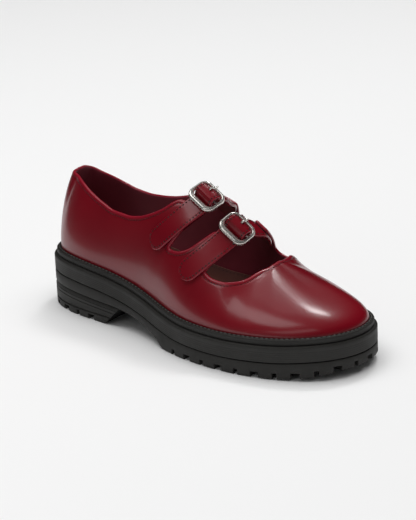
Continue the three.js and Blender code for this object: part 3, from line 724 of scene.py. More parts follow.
def build_mesh(
    name: str,
    points: np.ndarray,
    faces: Sequence[Sequence[int]] | np.ndarray,
    finishes: Sequence[Finish],
    shades: np.ndarray | None = None,
    edge: np.ndarray | None = None,
    crease: float = 40.0,
) -> bpy.types.Object:
    """Makes an object from points in millimetres.

    Args:
        name: its name.
        points: the points.
        faces: the faces, as indices.
        finishes: its finishes.
        shades: for each face, which finish it takes.
        edge: for each point, how much of the finish's edge colour it takes: painted highlight on rolled
            leather edges, the real paler cut edge on the insole.
        crease: the angle in degrees from which an edge looks sharp.

    Returns:
        The object, at the origin, with doubles merged and faces pointing out.
    """
    mesh = bpy.data.meshes.new(name)
    mesh.from_pydata((np.asarray(points).reshape(-1, 3) * METRE).tolist(), [], [list(f) for f in faces])
    for finish in finishes:
        mesh.materials.append(finish.material())
    if shades is not None:
        mesh.polygons.foreach_set("material_index", np.asarray(shades, np.int32))
    # the edge colour's share: painted highlight on rolled leather edges, the insole's real paler cut edge
    edge_tint_and_highlight = mesh.attributes.new("edge", "FLOAT", "POINT")
    edge_tint_and_highlight.data.foreach_set("value", np.zeros(len(mesh.vertices), np.float32) if edge is None else edge.ravel())
    shape = bmesh.new()
    shape.from_mesh(mesh)
    bmesh.ops.remove_doubles(shape, verts=shape.verts, dist=1e-6)
    bmesh.ops.recalc_face_normals(shape, faces=shape.faces)
    shape.to_mesh(mesh)
    shape.free()
    smooth(mesh, crease)
    return add_object(name, mesh)


def smooth(mesh: bpy.types.Mesh, crease: float) -> None:
    """Shades a mesh smooth.

    Args:
        mesh: the mesh.
        crease: the angle in degrees from which an edge stays sharp.
    """
    mesh.polygons.foreach_set("use_smooth", np.ones(len(mesh.polygons), bool))
    mesh.set_sharp_from_angle(angle=math.radians(crease))
    mesh.update()


def bake(piece: bpy.types.Object) -> bpy.types.Object:
    """Turns a piece and its modifiers into a plain mesh.

    Args:
        piece: the piece.

    Returns:
        The piece, without modifiers.
    """
    bpy.context.view_layer.update()
    seen = piece.evaluated_get(bpy.context.evaluated_depsgraph_get())
    mesh = bpy.data.meshes.new_from_object(seen)
    piece.modifiers.clear()
    piece.data = mesh
    return piece


def sweep(centre: np.ndarray, side: np.ndarray, out: np.ndarray, section: np.ndarray) -> np.ndarray:
    """Carries a section along a line.

    Args:
        centre: the line's points.
        side: the direction of the section's first axis at each point.
        out: the direction of its second axis.
        section: the section's points, one set for each point of the line, or one for all.

    Returns:
        A row of points for each point of the line.
    """
    section = np.broadcast_to(section, (len(centre), *np.shape(section)[-2:]))
    return centre[:, None] + side[:, None] * section[..., :1] + out[:, None] * section[..., 1:]


def tube_faces(rows: int, columns: int) -> list[Sequence[int]]:
    """Returns the faces of a swept section, with both ends closed."""
    ends = [list(range(columns))[::-1], list(range((rows - 1) * columns, rows * columns))]
    return [*grid_faces(rows, columns).tolist(), *ends]


def settle(piece: bpy.types.Object, slot: str, *nodes: str) -> bpy.types.Object:
    """Lets a piece ride on the shoe.

    Args:
        piece: the piece.
        slot: the name of a material slot; not used.
        nodes: the nodes that it stands for.

    Returns:
        The piece.
    """
    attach(piece, ROOT)
    if nodes:
        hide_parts(*nodes)
    faces = sum(len(p.vertices) - 2 for p in piece.data.polygons)
    LOG.info("%s: %d triangles, for %s", piece.name, faces, ", ".join(nodes) or "no node")
    return piece


# Repeats, made by Geometry Nodes


class Repeat(Enum):
    """What is repeated."""

    STITCH = "stitch"
    NOTCH = "notch"


def new_tree(name: str, given: str, sizes: Sequence[str], made: str) -> bpy.types.NodeTree:
    """Starts a Geometry Nodes tree.

    Args:
        name: its name.
        given: the name of the geometry it takes.
        sizes: the names of the sizes it takes.
        made: the name of the geometry it makes.

    Returns:
        The tree with its inputs and its output.
    """
    tree = bpy.data.node_groups.new(name, "GeometryNodeTree")
    tree.interface.new_socket(given, in_out="INPUT", socket_type="NodeSocketGeometry")
    for size in sizes:
        tree.interface.new_socket(size, in_out="INPUT", socket_type="NodeSocketFloat")
    tree.interface.new_socket(made, in_out="OUTPUT", socket_type="NodeSocketGeometry")
    return tree


def end_tree(tree: bpy.types.NodeTree, laid: bpy.types.NodeSocket, finish: Finish, made: str) -> None:
    """Makes a tree's instances real, dresses them and hands them out.

    Args:
        tree: the tree.
        laid: the instances.
        finish: their finish.
        made: the name of the tree's output.
    """
    real = add_node(tree, "GeometryNodeRealizeInstances", links={"Geometry": laid}).outputs["Geometry"]
    dressed = add_node(
        tree, "GeometryNodeSetMaterial", values={"Material": finish.material()}, links={"Geometry": real}
    ).outputs["Geometry"]
    add_node(tree, "NodeGroupOutput", links={made: dressed})


def run_tree(piece: bpy.types.Object, tree: bpy.types.NodeTree, sizes: dict[str, float]) -> bpy.types.Object:
    """Runs a tree on a piece.

    Args:
        piece: the piece that holds the tree's lines or places.
        tree: the tree.
        sizes: its sizes in millimetres, by name.

    Returns:
        The piece as a plain mesh.
    """
    modifier = piece.modifiers.new(piece.name, "NODES")
    modifier.node_group = tree
    for item in tree.interface.items_tree:
        if item.in_out == "INPUT" and item.name in sizes:
            modifier[item.identifier] = sizes[item.name] * METRE
    return bake(piece)


@dataclass
class Sewing:
    """Rows of stitches along lines: long beads of thread, each laid along its line."""

    pitch: float = 2.3
    length: float = 1.7
    thickness: float = 0.42
    segments: int = 6
    rings: int = 5

    def _tree(self, finish: Finish) -> bpy.types.NodeTree:
        """Builds the tree that lays stitches along the edges of a mesh.

        Args:
            finish: the thread's finish.

        Returns:
            The tree.
        """
        sizes = ("Pitch", "Stitch length", "Thread thickness")
        tree = new_tree(f"{Repeat.STITCH.value}_{finish.value.name}", "Lines", sizes, "Stitches")
        given = add_node(tree, "NodeGroupInput").outputs
        lines = add_node(tree, "GeometryNodeMeshToCurve", links={"Mesh": given["Lines"]}).outputs["Curve"]
        spaced = add_node(
            tree,
            "GeometryNodeResampleCurve",
            {"mode": "LENGTH"},
            links={"Curve": lines, "Length": given["Pitch"]},
        ).outputs["Curve"]
        bead = add_node(
            tree,
            "GeometryNodeMeshUVSphere",
            values={"Segments": self.segments, "Rings": self.rings, "Radius": 0.5},
        ).outputs["Mesh"]
        round_bead = add_node(tree, "GeometryNodeSetShadeSmooth", links={"Geometry": bead}).outputs[0]
        tangent = add_node(tree, "GeometryNodeInputTangent").outputs["Tangent"]
        aim = add_node(
            tree, "FunctionNodeAlignRotationToVector", {"axis": "Z"}, links={"Vector": tangent}
        ).outputs["Rotation"]
        thick, long = given["Thread thickness"], given["Stitch length"]
        size = add_node(
            tree, "ShaderNodeCombineXYZ", links={"X": thick, "Y": thick, "Z": long}
        ).outputs["Vector"]
        laid = add_node(
            tree,
            "GeometryNodeInstanceOnPoints",
            links={"Points": spaced, "Instance": round_bead, "Rotation": aim, "Scale": size},
        ).outputs["Instances"]
        end_tree(tree, laid, finish, "Stitches")
        return tree

    def sew(self, name: str, lines: Sequence[np.ndarray], finish: Finish = Finish.THREAD) -> bpy.types.Object:
        """Sews along lines.

        Args:
            name: the piece's name.
            lines: the lines, as points in millimetres.
            finish: the thread's finish.

        Returns:
            The stitches as one mesh.
        """
        points = np.vstack(lines) * METRE
        edges, start = [], 0
        for line in lines:
            edges += [(start + i, start + i + 1) for i in range(len(line) - 1)]
            start += len(line)
        mesh = bpy.data.meshes.new(name)
        mesh.from_pydata(points.tolist(), edges, [])
        sizes = {"Pitch": self.pitch, "Stitch length": self.length, "Thread thickness": self.thickness}
        return run_tree(add_object(name, mesh), self._tree(finish), sizes)


@dataclass
class Notches:
    """Blocks set round an edge, which cut the lugs of the tread."""

    pitch: float = 14.0
    narrow: float = 3.2
    wide: float = 6.0
    height: float = 4.0
    depth: float = 11.0
    overhang: float = 4.0  # how far the blocks stand out of the edge, both ends together

    def places(self, form: SoleForm, start: float, end: float, floor: Curve) -> np.ndarray:
        """Works out the blocks round a stretch of the edge.

        Args:
            form: the sole.
            start: the turn where the stretch starts.
            end: the turn where it ends.
            floor: the height of the tread.

        Returns:
            For each block its middle, the direction out and its width.
        """
        count = round((end - start) * 2 * (form.length + form.width / 2) / self.pitch)
        turns = start + (end - start) * (np.arange(count) + 0.5) / count
        point, out = form.edge(turns)
        middle = point - out * self.depth / 2
        widths = np.where(np.arange(count) % 2, self.wide, self.narrow)
        return np.column_stack([middle, floor(point[:, 0]), out, np.zeros(count), widths])

    def blocks(self, name: str, places: np.ndarray) -> bpy.types.Object:
        """Sets a block at each place by Geometry Nodes.

        Args:
            name: the object's name.
            places: rows of middle, direction out and width.

        Returns:
            The blocks as one mesh.
        """
        mesh = bpy.data.meshes.new(name)
        mesh.from_pydata((places[:, :3] * METRE).tolist(), [], [])
        spans = np.tile([self.depth + self.overhang, 0.0, 2 * self.height], (len(places), 1))
        spans[:, 1] = places[:, 6]
        for attribute, rows in (("aim", places[:, 3:6]), ("size", spans * METRE)):
            layer = mesh.attributes.new(attribute, "FLOAT_VECTOR", "POINT")
            layer.data.foreach_set("vector", rows.astype(np.float32).ravel())
        tree = new_tree(Repeat.NOTCH.value, "Places", (), "Blocks")
        given = add_node(tree, "NodeGroupInput").outputs["Places"]
        aimed, sized = (
            add_node(
                tree, "GeometryNodeInputNamedAttribute", {"data_type": "FLOAT_VECTOR"}, {"Name": attribute}
            ).outputs["Attribute"]
            for attribute in ("aim", "size")
        )
        block = add_node(tree, "GeometryNodeMeshCube", values={"Size": (1.0, 1.0, 1.0)}).outputs["Mesh"]
        turned = add_node(
            tree,
            "FunctionNodeAlignRotationToVector",
            {"axis": "X", "pivot_axis": "Z"},
            links={"Vector": aimed},
        ).outputs["Rotation"]
        points = add_node(tree, "GeometryNodeMeshToPoints", links={"Mesh": given}).outputs["Points"]
        laid = add_node(
            tree,
            "GeometryNodeInstanceOnPoints",
            links={"Points": points, "Instance": block, "Rotation": turned, "Scale": sized},
        ).outputs["Instances"]
        end_tree(tree, laid, Finish.RUBBER, "Blocks")
        return run_tree(add_object(name, mesh), tree, {})


def carve(piece: bpy.types.Object, cutter: bpy.types.Object, round_edges: float) -> bpy.types.Object:
    """Cuts one object out of another and breaks the sharp edges.

    Args:
        piece: what is cut.
        cutter: what cuts, and is removed.
        round_edges: the width of the broken edges, in millimetres.

    Returns:
        The piece.
    """
    cut = piece.modifiers.new("cut", "BOOLEAN")
    cut.operation = "DIFFERENCE"
    cut.solver = "EXACT"
    cut.use_self = True
    cut.object = cutter
    bake(piece)
    bpy.data.objects.remove(cutter)
    if round_edges:
        bevel = piece.modifiers.new("edges", "BEVEL")
        bevel.width = round_edges * METRE
        bevel.segments = 2
        bevel.limit_method = "ANGLE"
        bevel.angle_limit = math.radians(50)
        bevel.use_clamp_overlap = True
        bake(piece)
    smooth(piece.data, 35)
    return piece


def join(name: str, pieces: Sequence[bpy.types.Object]) -> bpy.types.Object:
    """Joins objects.

    Args:
        name: the name of what they make.
        pieces: the objects, all at the origin. They are removed.

    Returns:
        The one object.
    """
    shape = bmesh.new()
    for piece in pieces:
        shape.from_mesh(piece.data)
    mesh = bpy.data.meshes.new(name)
    shape.to_mesh(mesh)
    shape.free()
    for material in pieces[0].data.materials:
        mesh.materials.append(material)
    for piece in pieces:
        bpy.data.objects.remove(piece)
    return add_object(name, mesh)


# The sole


@dataclass
class Sole:
    """Outsole, heel block, midsole and welt, with their ribs, lugs and welt stitches."""

    form: LastForm
    turns: int = 420
    groove: float = 0.8
    tread_inset: float = 1.0
    tread_start: float = 0.505
    channel_depth: float = 3.0
    channel_width: float = 3.0
    channel_inset: float = 18.0
    centre_grooves: int = 5
    heel_length: float = 70.0
    breast_slope: float = 15.0
    breast_hollow: float = 4.0
    heel_tread: float = 5.5
    heel_rib: float = 2.4
    heel_ribs: int = 2
    heel_grooves: int = 3
    heel_groove_length: float = 34.0
    stitch_inset: float = 4.0
    welt_bead: float = 1.1
    thread_channel: tuple[float, float, float, float] = (3.4, 3.65, 4.35, 4.6)
    thread_channel_depth: float = 0.35
    shoulder: float = 1.3
    ribs: int = 5
    rib_depth: float = 0.1
    rib_half: float = 0.35
    rib_start: float = 0.16
    rib_span: float = 0.5
    heel_rib_depth: float = 0.35
    cut_below: float = 2.0
    cut_edge: float = 0.3
    notches: Notches = field(default_factory=Notches)

    def _round(self) -> np.ndarray:
        """Returns the turns of the fine loops."""
        return np.arange(self.turns) / self.turns

    def _layers(self, profile: Sequence[tuple[float, Curve, float]]) -> np.ndarray:
        """Carries a profile round the sole.

        Args:
            profile: rows of inset, height and shift in height.

        Returns:
            A loop of points for each row.
        """
        rows = [
            self.form.inside(self._round(), inset, lambda x, h=height, d=shift: h(x) + d)
            for inset, height, shift in profile
        ]
        return np.stack(rows)

    @staticmethod
    def _rounding(edge: float, radius: float, top: Curve, start: float) -> list[tuple[float, Curve, float]]:
        """Works out the profile of a rounded upper edge.

        Args:
            edge: how far in the edge stands.
            radius: its radius.
            top: the height of the layer's top.
            start: the angle where the rounding starts.

        Returns:
            Rows of inset, height and shift in height.
        """
        angles = np.linspace(start, math.pi / 2, 6)
        return [(edge + radius * (1 - math.cos(a)), top, radius * (math.sin(a) - 1)) for a in angles]

    def _lids(self, loops: np.ndarray) -> list[list[int]]:
        """Lists a stack's faces.

        Args:
            loops: the stack's loops.

        Returns:
            The faces between the loops and across both ends.
        """
        count = loops.shape[1]
        faces = grid_faces(len(loops), count).tolist()
        for base, flip in ((0, True), ((len(loops) - 1) * count, False)):
            for i in range(count // 2):
                ladder = [base + i, base + i + 1, base + (count - i - 1) % count, base + (count - i) % count]
                corners = list(dict.fromkeys(ladder))
                if len(corners) > 2:
                    faces.append(corners[::-1] if flip else corners)
        return faces

    def welt(self) -> None:
        """Builds the welt: a strip with a bead at its edge and a stitched channel beside the upper."""
        form = self.form
        top, bottom, edge = form.seat, form.welt_bottom, form.welt_setback
        inner = form.welt_margin + form.wall
        near, start, end, far = self.thread_channel
        floor = -self.thread_channel_depth
        profile = [(edge + 0.35, bottom, 0.0), (edge, bottom, 0.5)]
        profile += self._rounding(edge, self.welt_bead, top, 0)
        profile += [(near, top, 0.0), (start, top, floor), (end, top, floor), (far, top, -0.05)]
        profile += [(inner, top, -0.05), (inner, bottom, 0.0)]
        loops = self._layers([*profile, profile[0]])
        piece = build_mesh("welt_strip", loops, grid_faces(len(loops), self.turns), [Finish.RUBBER])
        settle(piece, "sole_rubber", "welt")
        turns = np.linspace(0, 1, 900)
        line = form.inside(turns, self.stitch_inset, lambda x: form.seat(x) - 0.05)
        # Drawn a little thicker than the real thread, so that the row shows.
        thread = Sewing(pitch=3.4, length=2.5, thickness=1.25)
        settle(thread.sew("welt_stitches", [line], Finish.BLACK_THREAD), "sole_rubber")

    def midsole(self) -> None:
        """Builds the midsole: a rounded upper edge over a face with faint ribs."""
        top, bottom = self.form.midsole_top, self.form.midsole_bottom
        thick = self.form.midsole_thickness
        profile = [(self.groove, bottom, 0.0), (0.25, bottom, 0.3), (0.0, bottom, self.groove)]
        for i in range(self.ribs):
            mid = thick * (self.rib_start + self.rib_span * i / (self.ribs - 1))
            profile += [(0.0, bottom, mid - self.rib_half), (self.rib_depth, bottom, mid)]
            profile += [(0.0, bottom, mid + self.rib_half)]
        profile += self._rounding(0.0, self.shoulder, top, 0.1)
        loops = self._layers(profile)
        piece = build_mesh("midsole_layer", loops, self._lids(loops), [Finish.RUBBER], crease=32)
        settle(piece, "sole_rubber", "midsole")

    def _start_turn(self, ahead: float) -> float:
        """Finds a place on the outer edge.

        Args:
            ahead: a share of the sole's length.

        Returns:
            The turn at which the edge passes it.
        """
        turns = np.arange(200) / 400
        point, _ = self.form.edge(turns)
        return float(turns[np.argmax(self.form.share(point[:, 0]) > ahead)])

    def outsole(self) -> None:
        """Builds the outsole and cuts its notches, its channel and its cross grooves."""
        form = self.form
        top, bottom = form.outsole_top, form.outsole_bottom
        profile = [(self.tread_inset, bottom, 0.0), (0.3, bottom, 0.3), (0.0, bottom, self.tread_inset)]
        profile += [(0.0, top, -self.groove), (0.25, top, -0.3), (self.groove, top, 0.0)]
        loops = self._layers(profile)
        piece = build_mesh("outsole_tread", loops, self._lids(loops), [Finish.RUBBER])
        first = self._start_turn(self.tread_start + 0.02)
        cutters = [self.notches.blocks("lugs", self.notches.places(form, first, 1 - first, bottom))]
        start = (self.tread_start - 0.5) * form.length
        cutters.append(self._channel(self._start_turn(self.tread_start)))
        for i in range(1, self.centre_grooves + 1):
            x = start + i * (form.length / 2 - self.channel_inset) / (self.centre_grooves + 1)
            cutters.append(self._cross_groove(x))
        carve(piece, join("tread_cuts", cutters), self.cut_edge)
        settle(piece, "sole_rubber", "outsole")

    def _channel(self, first: float) -> bpy.types.Object:
        """Makes the solid that cuts the channel round the forefoot.

        Args:
            first: the turn where the channel starts.

        Returns:
            The solid.
        """
        turns = np.linspace(first, 1 - first, 160)
        near, far = self.channel_inset, self.channel_inset + self.channel_width
        below = flat(-self.cut_below)
        corners = ((near, below), (near, self._groove_roof), (far, self._groove_roof), (far, below))
        section = np.stack([self.form.inside(turns, inset, height) for inset, height in corners], 1)
        return build_mesh("channel", section, tube_faces(len(turns), 4), [Finish.RUBBER])

    def _groove_roof(self, x: np.ndarray) -> np.ndarray:
        """Returns the height of the grooves' roof."""
        return self.form.outsole_bottom(x) + self.channel_depth

    def _cross_groove(self, x: float) -> bpy.types.Object:
        """Makes the solid that cuts one groove across the forefoot, from channel to channel.

        Args:
            x: where the groove runs.

        Returns:
            The solid.
        """
        turns = np.linspace(0.2, 0.8, 1200)
        line = self.form.inside(turns, self.channel_inset + self.channel_width / 2, self._groove_roof)
        ends = [half[np.argmin(np.abs(half[:, 0] - x)), 1] for half in (line[:600], line[600:])]
        return self._bar(x, ends[0], ends[1], float(self._groove_roof(np.array([x]))[0]) - 0.5)

    def _bar(self, x: float, first: float, last: float, roof: float) -> bpy.types.Object:
        """Makes a bar across the sole, as wide as a groove.

        Args:
            x: where it runs.
            first: where it starts across the sole.
            last: where it ends.
            roof: the height of its top.

        Returns:
            The bar.
        """
        half = self.channel_width / 2
        ring = ((-half, first), (half, first), (half, last), (-half, last))
        corners = np.array([(x + step, y, z) for z in (-self.cut_below, roof) for step, y in ring])
        return build_mesh("cross", corners, tube_faces(2, 4), [Finish.RUBBER])

    def _breast(self, level: float) -> float:
        """Returns how far along the heel block's front stands at a share of its height."""
        return -self.form.length / 2 + self.heel_length + self.breast_slope * level

    def _heel_loop(self, inset: float, level: float, height: Curve) -> np.ndarray:
        """Works out the heel block's outline at one level.

        Args:
            inset: how far in it stands.
            level: the share of the block's height.
            height: its height, as a function of how far along the sole the point is.

        Returns:
            The loop's points, round the heel and then across the hollow front.
        """
        form = self.form
        front = self._breast(level)
        turns = np.linspace(0, 0.5, 2001)[:-1]
        outer = form.inside(turns, inset, form.seat)[:, 0]
        inner = form.inside(1 - turns - 1e-9, inset, form.seat)[:, 0]
        ends = turns[np.argmax(outer > front)], turns[np.argmax(inner > front)]
        steps, across = 180, 40
        turn = 1 - ends[1] + (ends[0] + ends[1]) * np.arange(steps) / (steps - 1)
        curve = form.inside(turn % 1, inset, height)
        s = np.arange(1, across) / across
        line = curve[-1] + (curve[0] - curve[-1]) * s[:, None]
        line[:, 0] -= 4 * self.breast_hollow * s * (1 - s)
        line[:, 2] = height(line[:, 0])
        return np.vstack([curve, line])

    def heel(self) -> None:
        """Builds the heel block with its ribs, tread line, notches and grooves."""
        form = self.form
        limit = self._breast(1)

        def top(x: np.ndarray) -> np.ndarray:
            """Returns the height of the block's top."""
            return form.outsole_bottom(np.minimum(x, limit)) - form.gap

        tread, cut = self.heel_tread, self.groove
        levels = [(self.tread_inset, flat(0.0)), (0.3, flat(0.3)), (0.0, flat(self.tread_inset))]
        levels += [(0.0, flat(tread - cut)), (cut, flat(tread)), (0.0, flat(tread + cut))]
        for i in range(self.heel_ribs, 0, -1):
            rib = self.heel_rib_depth
            for inset, shift in ((0.0, -rib), (rib, 0.0), (0.0, rib)):
                levels.append((inset, lambda x, d=shift - i * self.heel_rib: top(x) + d))
        levels.append((cut, top))
        middle = np.array([self._breast(0.5)])
        loops = np.stack([self._heel_loop(a, float(h(middle)[0] / top(middle)[0]), h) for a, h in levels])
        piece = build_mesh("heel_stack", loops, tube_faces(len(loops), loops.shape[1]), [Finish.RUBBER])
        turns = np.arange(200) / 400
        front = self._breast(0) - self.notches.pitch / 2
        turn = float(turns[np.argmax(form.edge(turns)[0][:, 0] > front)])
        places = self.notches.places(form, 1 - turn, 1 + turn, flat(0.0))
        cutters = [self.notches.blocks("lugs", places)]
        for i in range(self.heel_grooves):
            x = -form.length / 2 + self.channel_inset
            x += (i + 0.5) * (self.heel_length - self.channel_inset) / self.heel_grooves
            end = self.heel_groove_length / 2
            cutters.append(self._bar(x, -end, end, self.channel_depth))
        carve(piece, join("heel_cuts", cutters), self.cut_edge)
        settle(piece, "sole_rubber", "heel_block")

    def build(self) -> None:
        """Builds every layer."""
        self.welt()
        self.midsole()
        self.outsole()
        self.heel()


@dataclass
class Insole:
    """The footbed: a leather cover, slightly dished, with a paler cut edge and a row of stitches."""

    form: LastForm
    clearance: float = 0.6
    footbed: float = 2.0
    dish: float = 0.9
    stitch_inset: float = 4.0
    turns: int = 300
    across: int = 18

    def build(self) -> None:
        """Builds the insole and its stitches."""
        form = self.form
        inset = form.welt_margin + form.wall + self.clearance
        turns = np.arange(self.turns) / self.turns
        rim = [(inset, lambda x: form.midsole_top(x) + form.gap), (inset, lambda x: form.seat(x) + 0.6)]
        rim += [(inset + 0.5, lambda x: form.seat(x) + self.footbed + 0.4)]
        rim += [(inset + 1.3, lambda x: form.seat(x) + self.footbed + 0.55)]
        loops = np.stack([form.inside(turns, i, h) for i, h in rim])
        faces = grid_faces(len(loops), self.turns).tolist()
        half = self.turns // 2
        outer = loops[-1][: half + 1]
        inner = loops[-1][(self.turns - np.arange(half + 1)) % self.turns]
        s = np.linspace(0, 1, self.across)[None, :, None]
        top = outer[:, None] * (1 - s) + inner[:, None] * s
        top[..., 2] -= self.dish * (4 * s * (1 - s))[..., 0] ** 0.6
        start = loops.size // 3
        faces += (grid_faces(half + 1, self.across, wrap=False) + start).tolist()
        under = loops[0]
        base = start + top.size // 3
        for i in range(half):
            ladder = [i, (self.turns - i) % self.turns, (self.turns - i - 1) % self.turns, i + 1]
            corners = list(dict.fromkeys(base + k for k in ladder))
            if len(corners) > 2:
                faces.append(corners)
        points = np.vstack([loops.reshape(-1, 3), top.reshape(-1, 3), under])
        edge = np.zeros(len(points), np.float32)
        edge[self.turns : 3 * self.turns] = 0.8
        piece = build_mesh("insole_cover", points, faces, [Finish.SOCK], edge=edge)
        settle(piece, "lining_leather", "insole")
        fine = np.linspace(0, 1, 700)
        line = form.inside(fine, inset + self.stitch_inset, lambda x: form.seat(x) + self.footbed + 0.3)
        settle(Sewing(pitch=3.0, length=2.1, thickness=0.4).sew("insole_stitches", [line]), "lining_leather")


# The upper


@dataclass(frozen=True)
class Crease:
    """A soft trough in the leather between two places on the upper, with a ridge on either side."""

    turns: tuple[float, float]
    ups: tuple[float, float]
    depth: float
    width: float


CREASES = (
    Crease((0.322, 0.352), (0.34, 0.14), 0.2, 4.5),
    Crease((0.34, 0.37), (0.3, 0.16), 0.15, 3.8),
    Crease((0.668, 0.64), (0.28, 0.12), 0.2, 4.5),
    Crease((0.65, 0.62), (0.27, 0.15), 0.15, 3.8),
    Crease((0.185, 0.2), (0.33, 0.12), 0.16, 6.0),
    Crease((0.86, 0.9), (0.28, 0.18), 0.16, 6.0),
)


@dataclass
class Upper:
    """The hollow leather shell: folded and stitched top line, lining, back strip and side seam."""

    form: LastForm
    columns: int = 340  # on either side
    rows: int = 40
    lining_rows: int = 14
    fold_steps: int = 7
    crowding: float = 1.45  # over 1, the rows lie closer towards the top line
    foot_share: float = 0.4  # how far the foot's line, beside the top line, spreads the columns
    painted_topline_highlight: float = 0.4  # how strongly the leather at the top line takes the edge colour, as a painted highlight on its rolled edge
    # how far from the top line the painted highlight reaches, in millimetres
    painted_highlight_reach: float = 0.9
    # how strongly the fold takes the edge colour, as a painted highlight on the roll
    painted_fold_highlight: float = 0.5
    fold_inset: float = 0.9  # the fold's swelling stands this far from the top line
    fold_swelling: float = 0.12
    stitch_inset: float = 2.0
    stitch_dent: float = 0.16
    strip_width: float = 11.0
    strip_thickness: float = 0.8
    strip_edge: float = 0.9
    strip_stitch_inset: float = 1.8
    strip_stitch_dent: float = 0.14
    seam_way: float = 0.404
    seam_bead: tuple[float, float] = (0.45, 0.28)

    def _turns(self) -> np.ndarray:
        """Spreads the columns round the upper.

        Returns:
            Their turns, closer where the top line is steep.
        """
        form = self.form
        sides = []
        for side in (0, 1):
            way = np.linspace(0, 1, 3001)
            turn = way / 2 if side == 0 else 1 - way / 2
            top, _ = form.skin(turn, form.topline(turn))
            foot, _ = form.skin(turn, np.zeros(3001))
            walk, below = (np.linalg.norm(np.diff(line, axis=0), axis=1) for line in (top, foot))
            walk = walk + self.foot_share * below
            walked = np.concatenate([[0], np.cumsum(walk)])
            even = np.linspace(0, walked[-1], self.columns + 1)
            spread = np.interp(even, walked, way)
            sides.append(spread / 2 if side == 0 else 1 - spread / 2)
        return np.concatenate([sides[0], sides[1][1:-1][::-1]])

    def _rim(self, turns: np.ndarray) -> tuple[np.ndarray, np.ndarray, np.ndarray]:
        """Finds the top line.

        Args:
            turns: the columns' turns.

        Returns:
            Its points, the directions out, and those past the edge in the leather's plane.
        """
        points, out = self.form.skin(turns, self.form.topline(turns))
        tangent = unit(np.roll(points, -1, 0) - np.roll(points, 1, 0))
        return points, out, unit(np.cross(out, tangent))

    def _relief(self, points: np.ndarray, rim: np.ndarray) -> tuple[np.ndarray, np.ndarray]:
        """Works out the leather's small relief.

        Args:
            points: points of the plain skin.
            rim: points of the top line.

        Returns:
            How far out each point moves, and its distance from the top line.
        """
        tree = KDTree(len(rim))
        for i, point in enumerate(rim):
            tree.insert(point, i)
        tree.balance()
        away = np.array([tree.find(p)[2] for p in points.reshape(-1, 3)]).reshape(points.shape[:-1])
        relief = self.fold_swelling * np.exp(-((away - self.fold_inset) ** 2) / 0.8)
        relief -= self.stitch_dent * np.exp(-((away - self.stitch_inset) ** 2) / 0.5)
        for crease in CREASES:
            steps = np.linspace(0, 1, 24)
            line, _ = self.form.skin(
                crease.turns[0] + (crease.turns[1] - crease.turns[0]) * steps,
                crease.ups[0] + (crease.ups[1] - crease.ups[0]) * steps,
            )
            chord = line[-1] - line[0]
            along = np.clip((points - line[0]) @ chord / (chord @ chord), 0, 1)
            near = np.stack([np.interp(along, steps, line[:, axis]) for axis in range(3)], -1)
            share = np.linalg.norm(points - near, axis=-1) / crease.width
            fade = np.sin(np.pi * (0.1 + 0.8 * along))
            relief -= crease.depth * fade * (1 - 0.9 * share**2) * np.exp(-(share**2))
        return relief, away

    def shell(self) -> None:
        """Builds the shell with its fold and lining."""
        form = self.form
        turns = self._turns()
        top = form.topline(turns)
        levels = 1 - (1 - np.linspace(0, 1, self.rows + 1)) ** self.crowding
        grid_turns, grid_levels = np.meshgrid(turns, levels)
        plain, _ = form.skin(grid_turns, grid_levels * top)
        rim, out, past = self._rim(turns)
        relief, away = self._relief(plain, rim)
        outer, _ = form.skin(grid_turns, grid_levels * top, relief)
        foot = outer[:1].copy()
        foot[..., 2] -= form.gap - HAIR
        radius = form.wall / 2
        angles = np.linspace(0, math.pi, self.fold_steps + 2)[1:-1]
        middle = rim - out * radius
        rise = past * radius * 0.9
        fold = np.stack([middle + out * radius * math.cos(a) + rise * math.sin(a) for a in angles])
        lining_levels = 1 - np.linspace(0, 1, self.lining_rows + 1)
        lining_turns, lining_up = np.meshgrid(turns, lining_levels)
        lining, _ = form.skin(lining_turns, lining_up * top, -form.wall)
        base = lining[-1:].copy()
        base[..., 2] -= form.gap - HAIR
        loops = np.concatenate([foot, outer, fold, lining, base, foot])
        faces = grid_faces(len(loops), len(turns))
        row = np.arange(len(faces)) // len(turns)
        shades = (row >= self.rows + self.fold_steps).astype(np.int32)
        # Painted highlight: the rows near the top line and the fold take the lighter edge colour.
        edge = np.zeros(loops.shape[:2], np.float32)
        start = self.rows + 2
        edge[1:start] = self.painted_topline_highlight * np.exp(-((away / self.painted_highlight_reach) ** 2))
        edge[start : start + self.fold_steps] = self.painted_fold_highlight
        finishes = [Finish.CALF, Finish.LINING]
        piece = build_mesh("leather_upper", loops, faces, finishes, shades, edge, crease=70)
        settle(piece, "upper_leather", "upper")
        line = rim + out * HAIR - past * self.stitch_inset
        closed = np.vstack([line, line[:1]])
        settle(Sewing(thickness=0.45).sew("topline_stitches", [closed]), "upper_leather")

    def side_seam(self) -> None:
        """Builds the inner side's seam, from the slot between the ears down to the welt."""
        form = self.form
        turn = 1 - self.seam_way / 2
        reach = float(form.topline(np.array([turn]))[0])
        ups = np.linspace(0.004, reach * 0.985, 70)
        centre, out = form.skin(turn, ups, HAIR)
        along = unit(np.gradient(centre, axis=0))
        side = np.cross(along, out)
        angles = np.linspace(0, 2 * math.pi, 9)[:-1]
        section = np.stack([np.cos(angles), np.sin(angles)], 1) * self.seam_bead
        loops = sweep(centre, side, out, section)
        piece = build_mesh("side_seam", loops, tube_faces(70, 8), [Finish.CALF])
        settle(piece, "upper_leather")
        lines = [centre + side * 1.7 + out * 0.1]
        settle(Sewing(thickness=0.36).sew("side_seam_stitches", lines), "upper_leather")

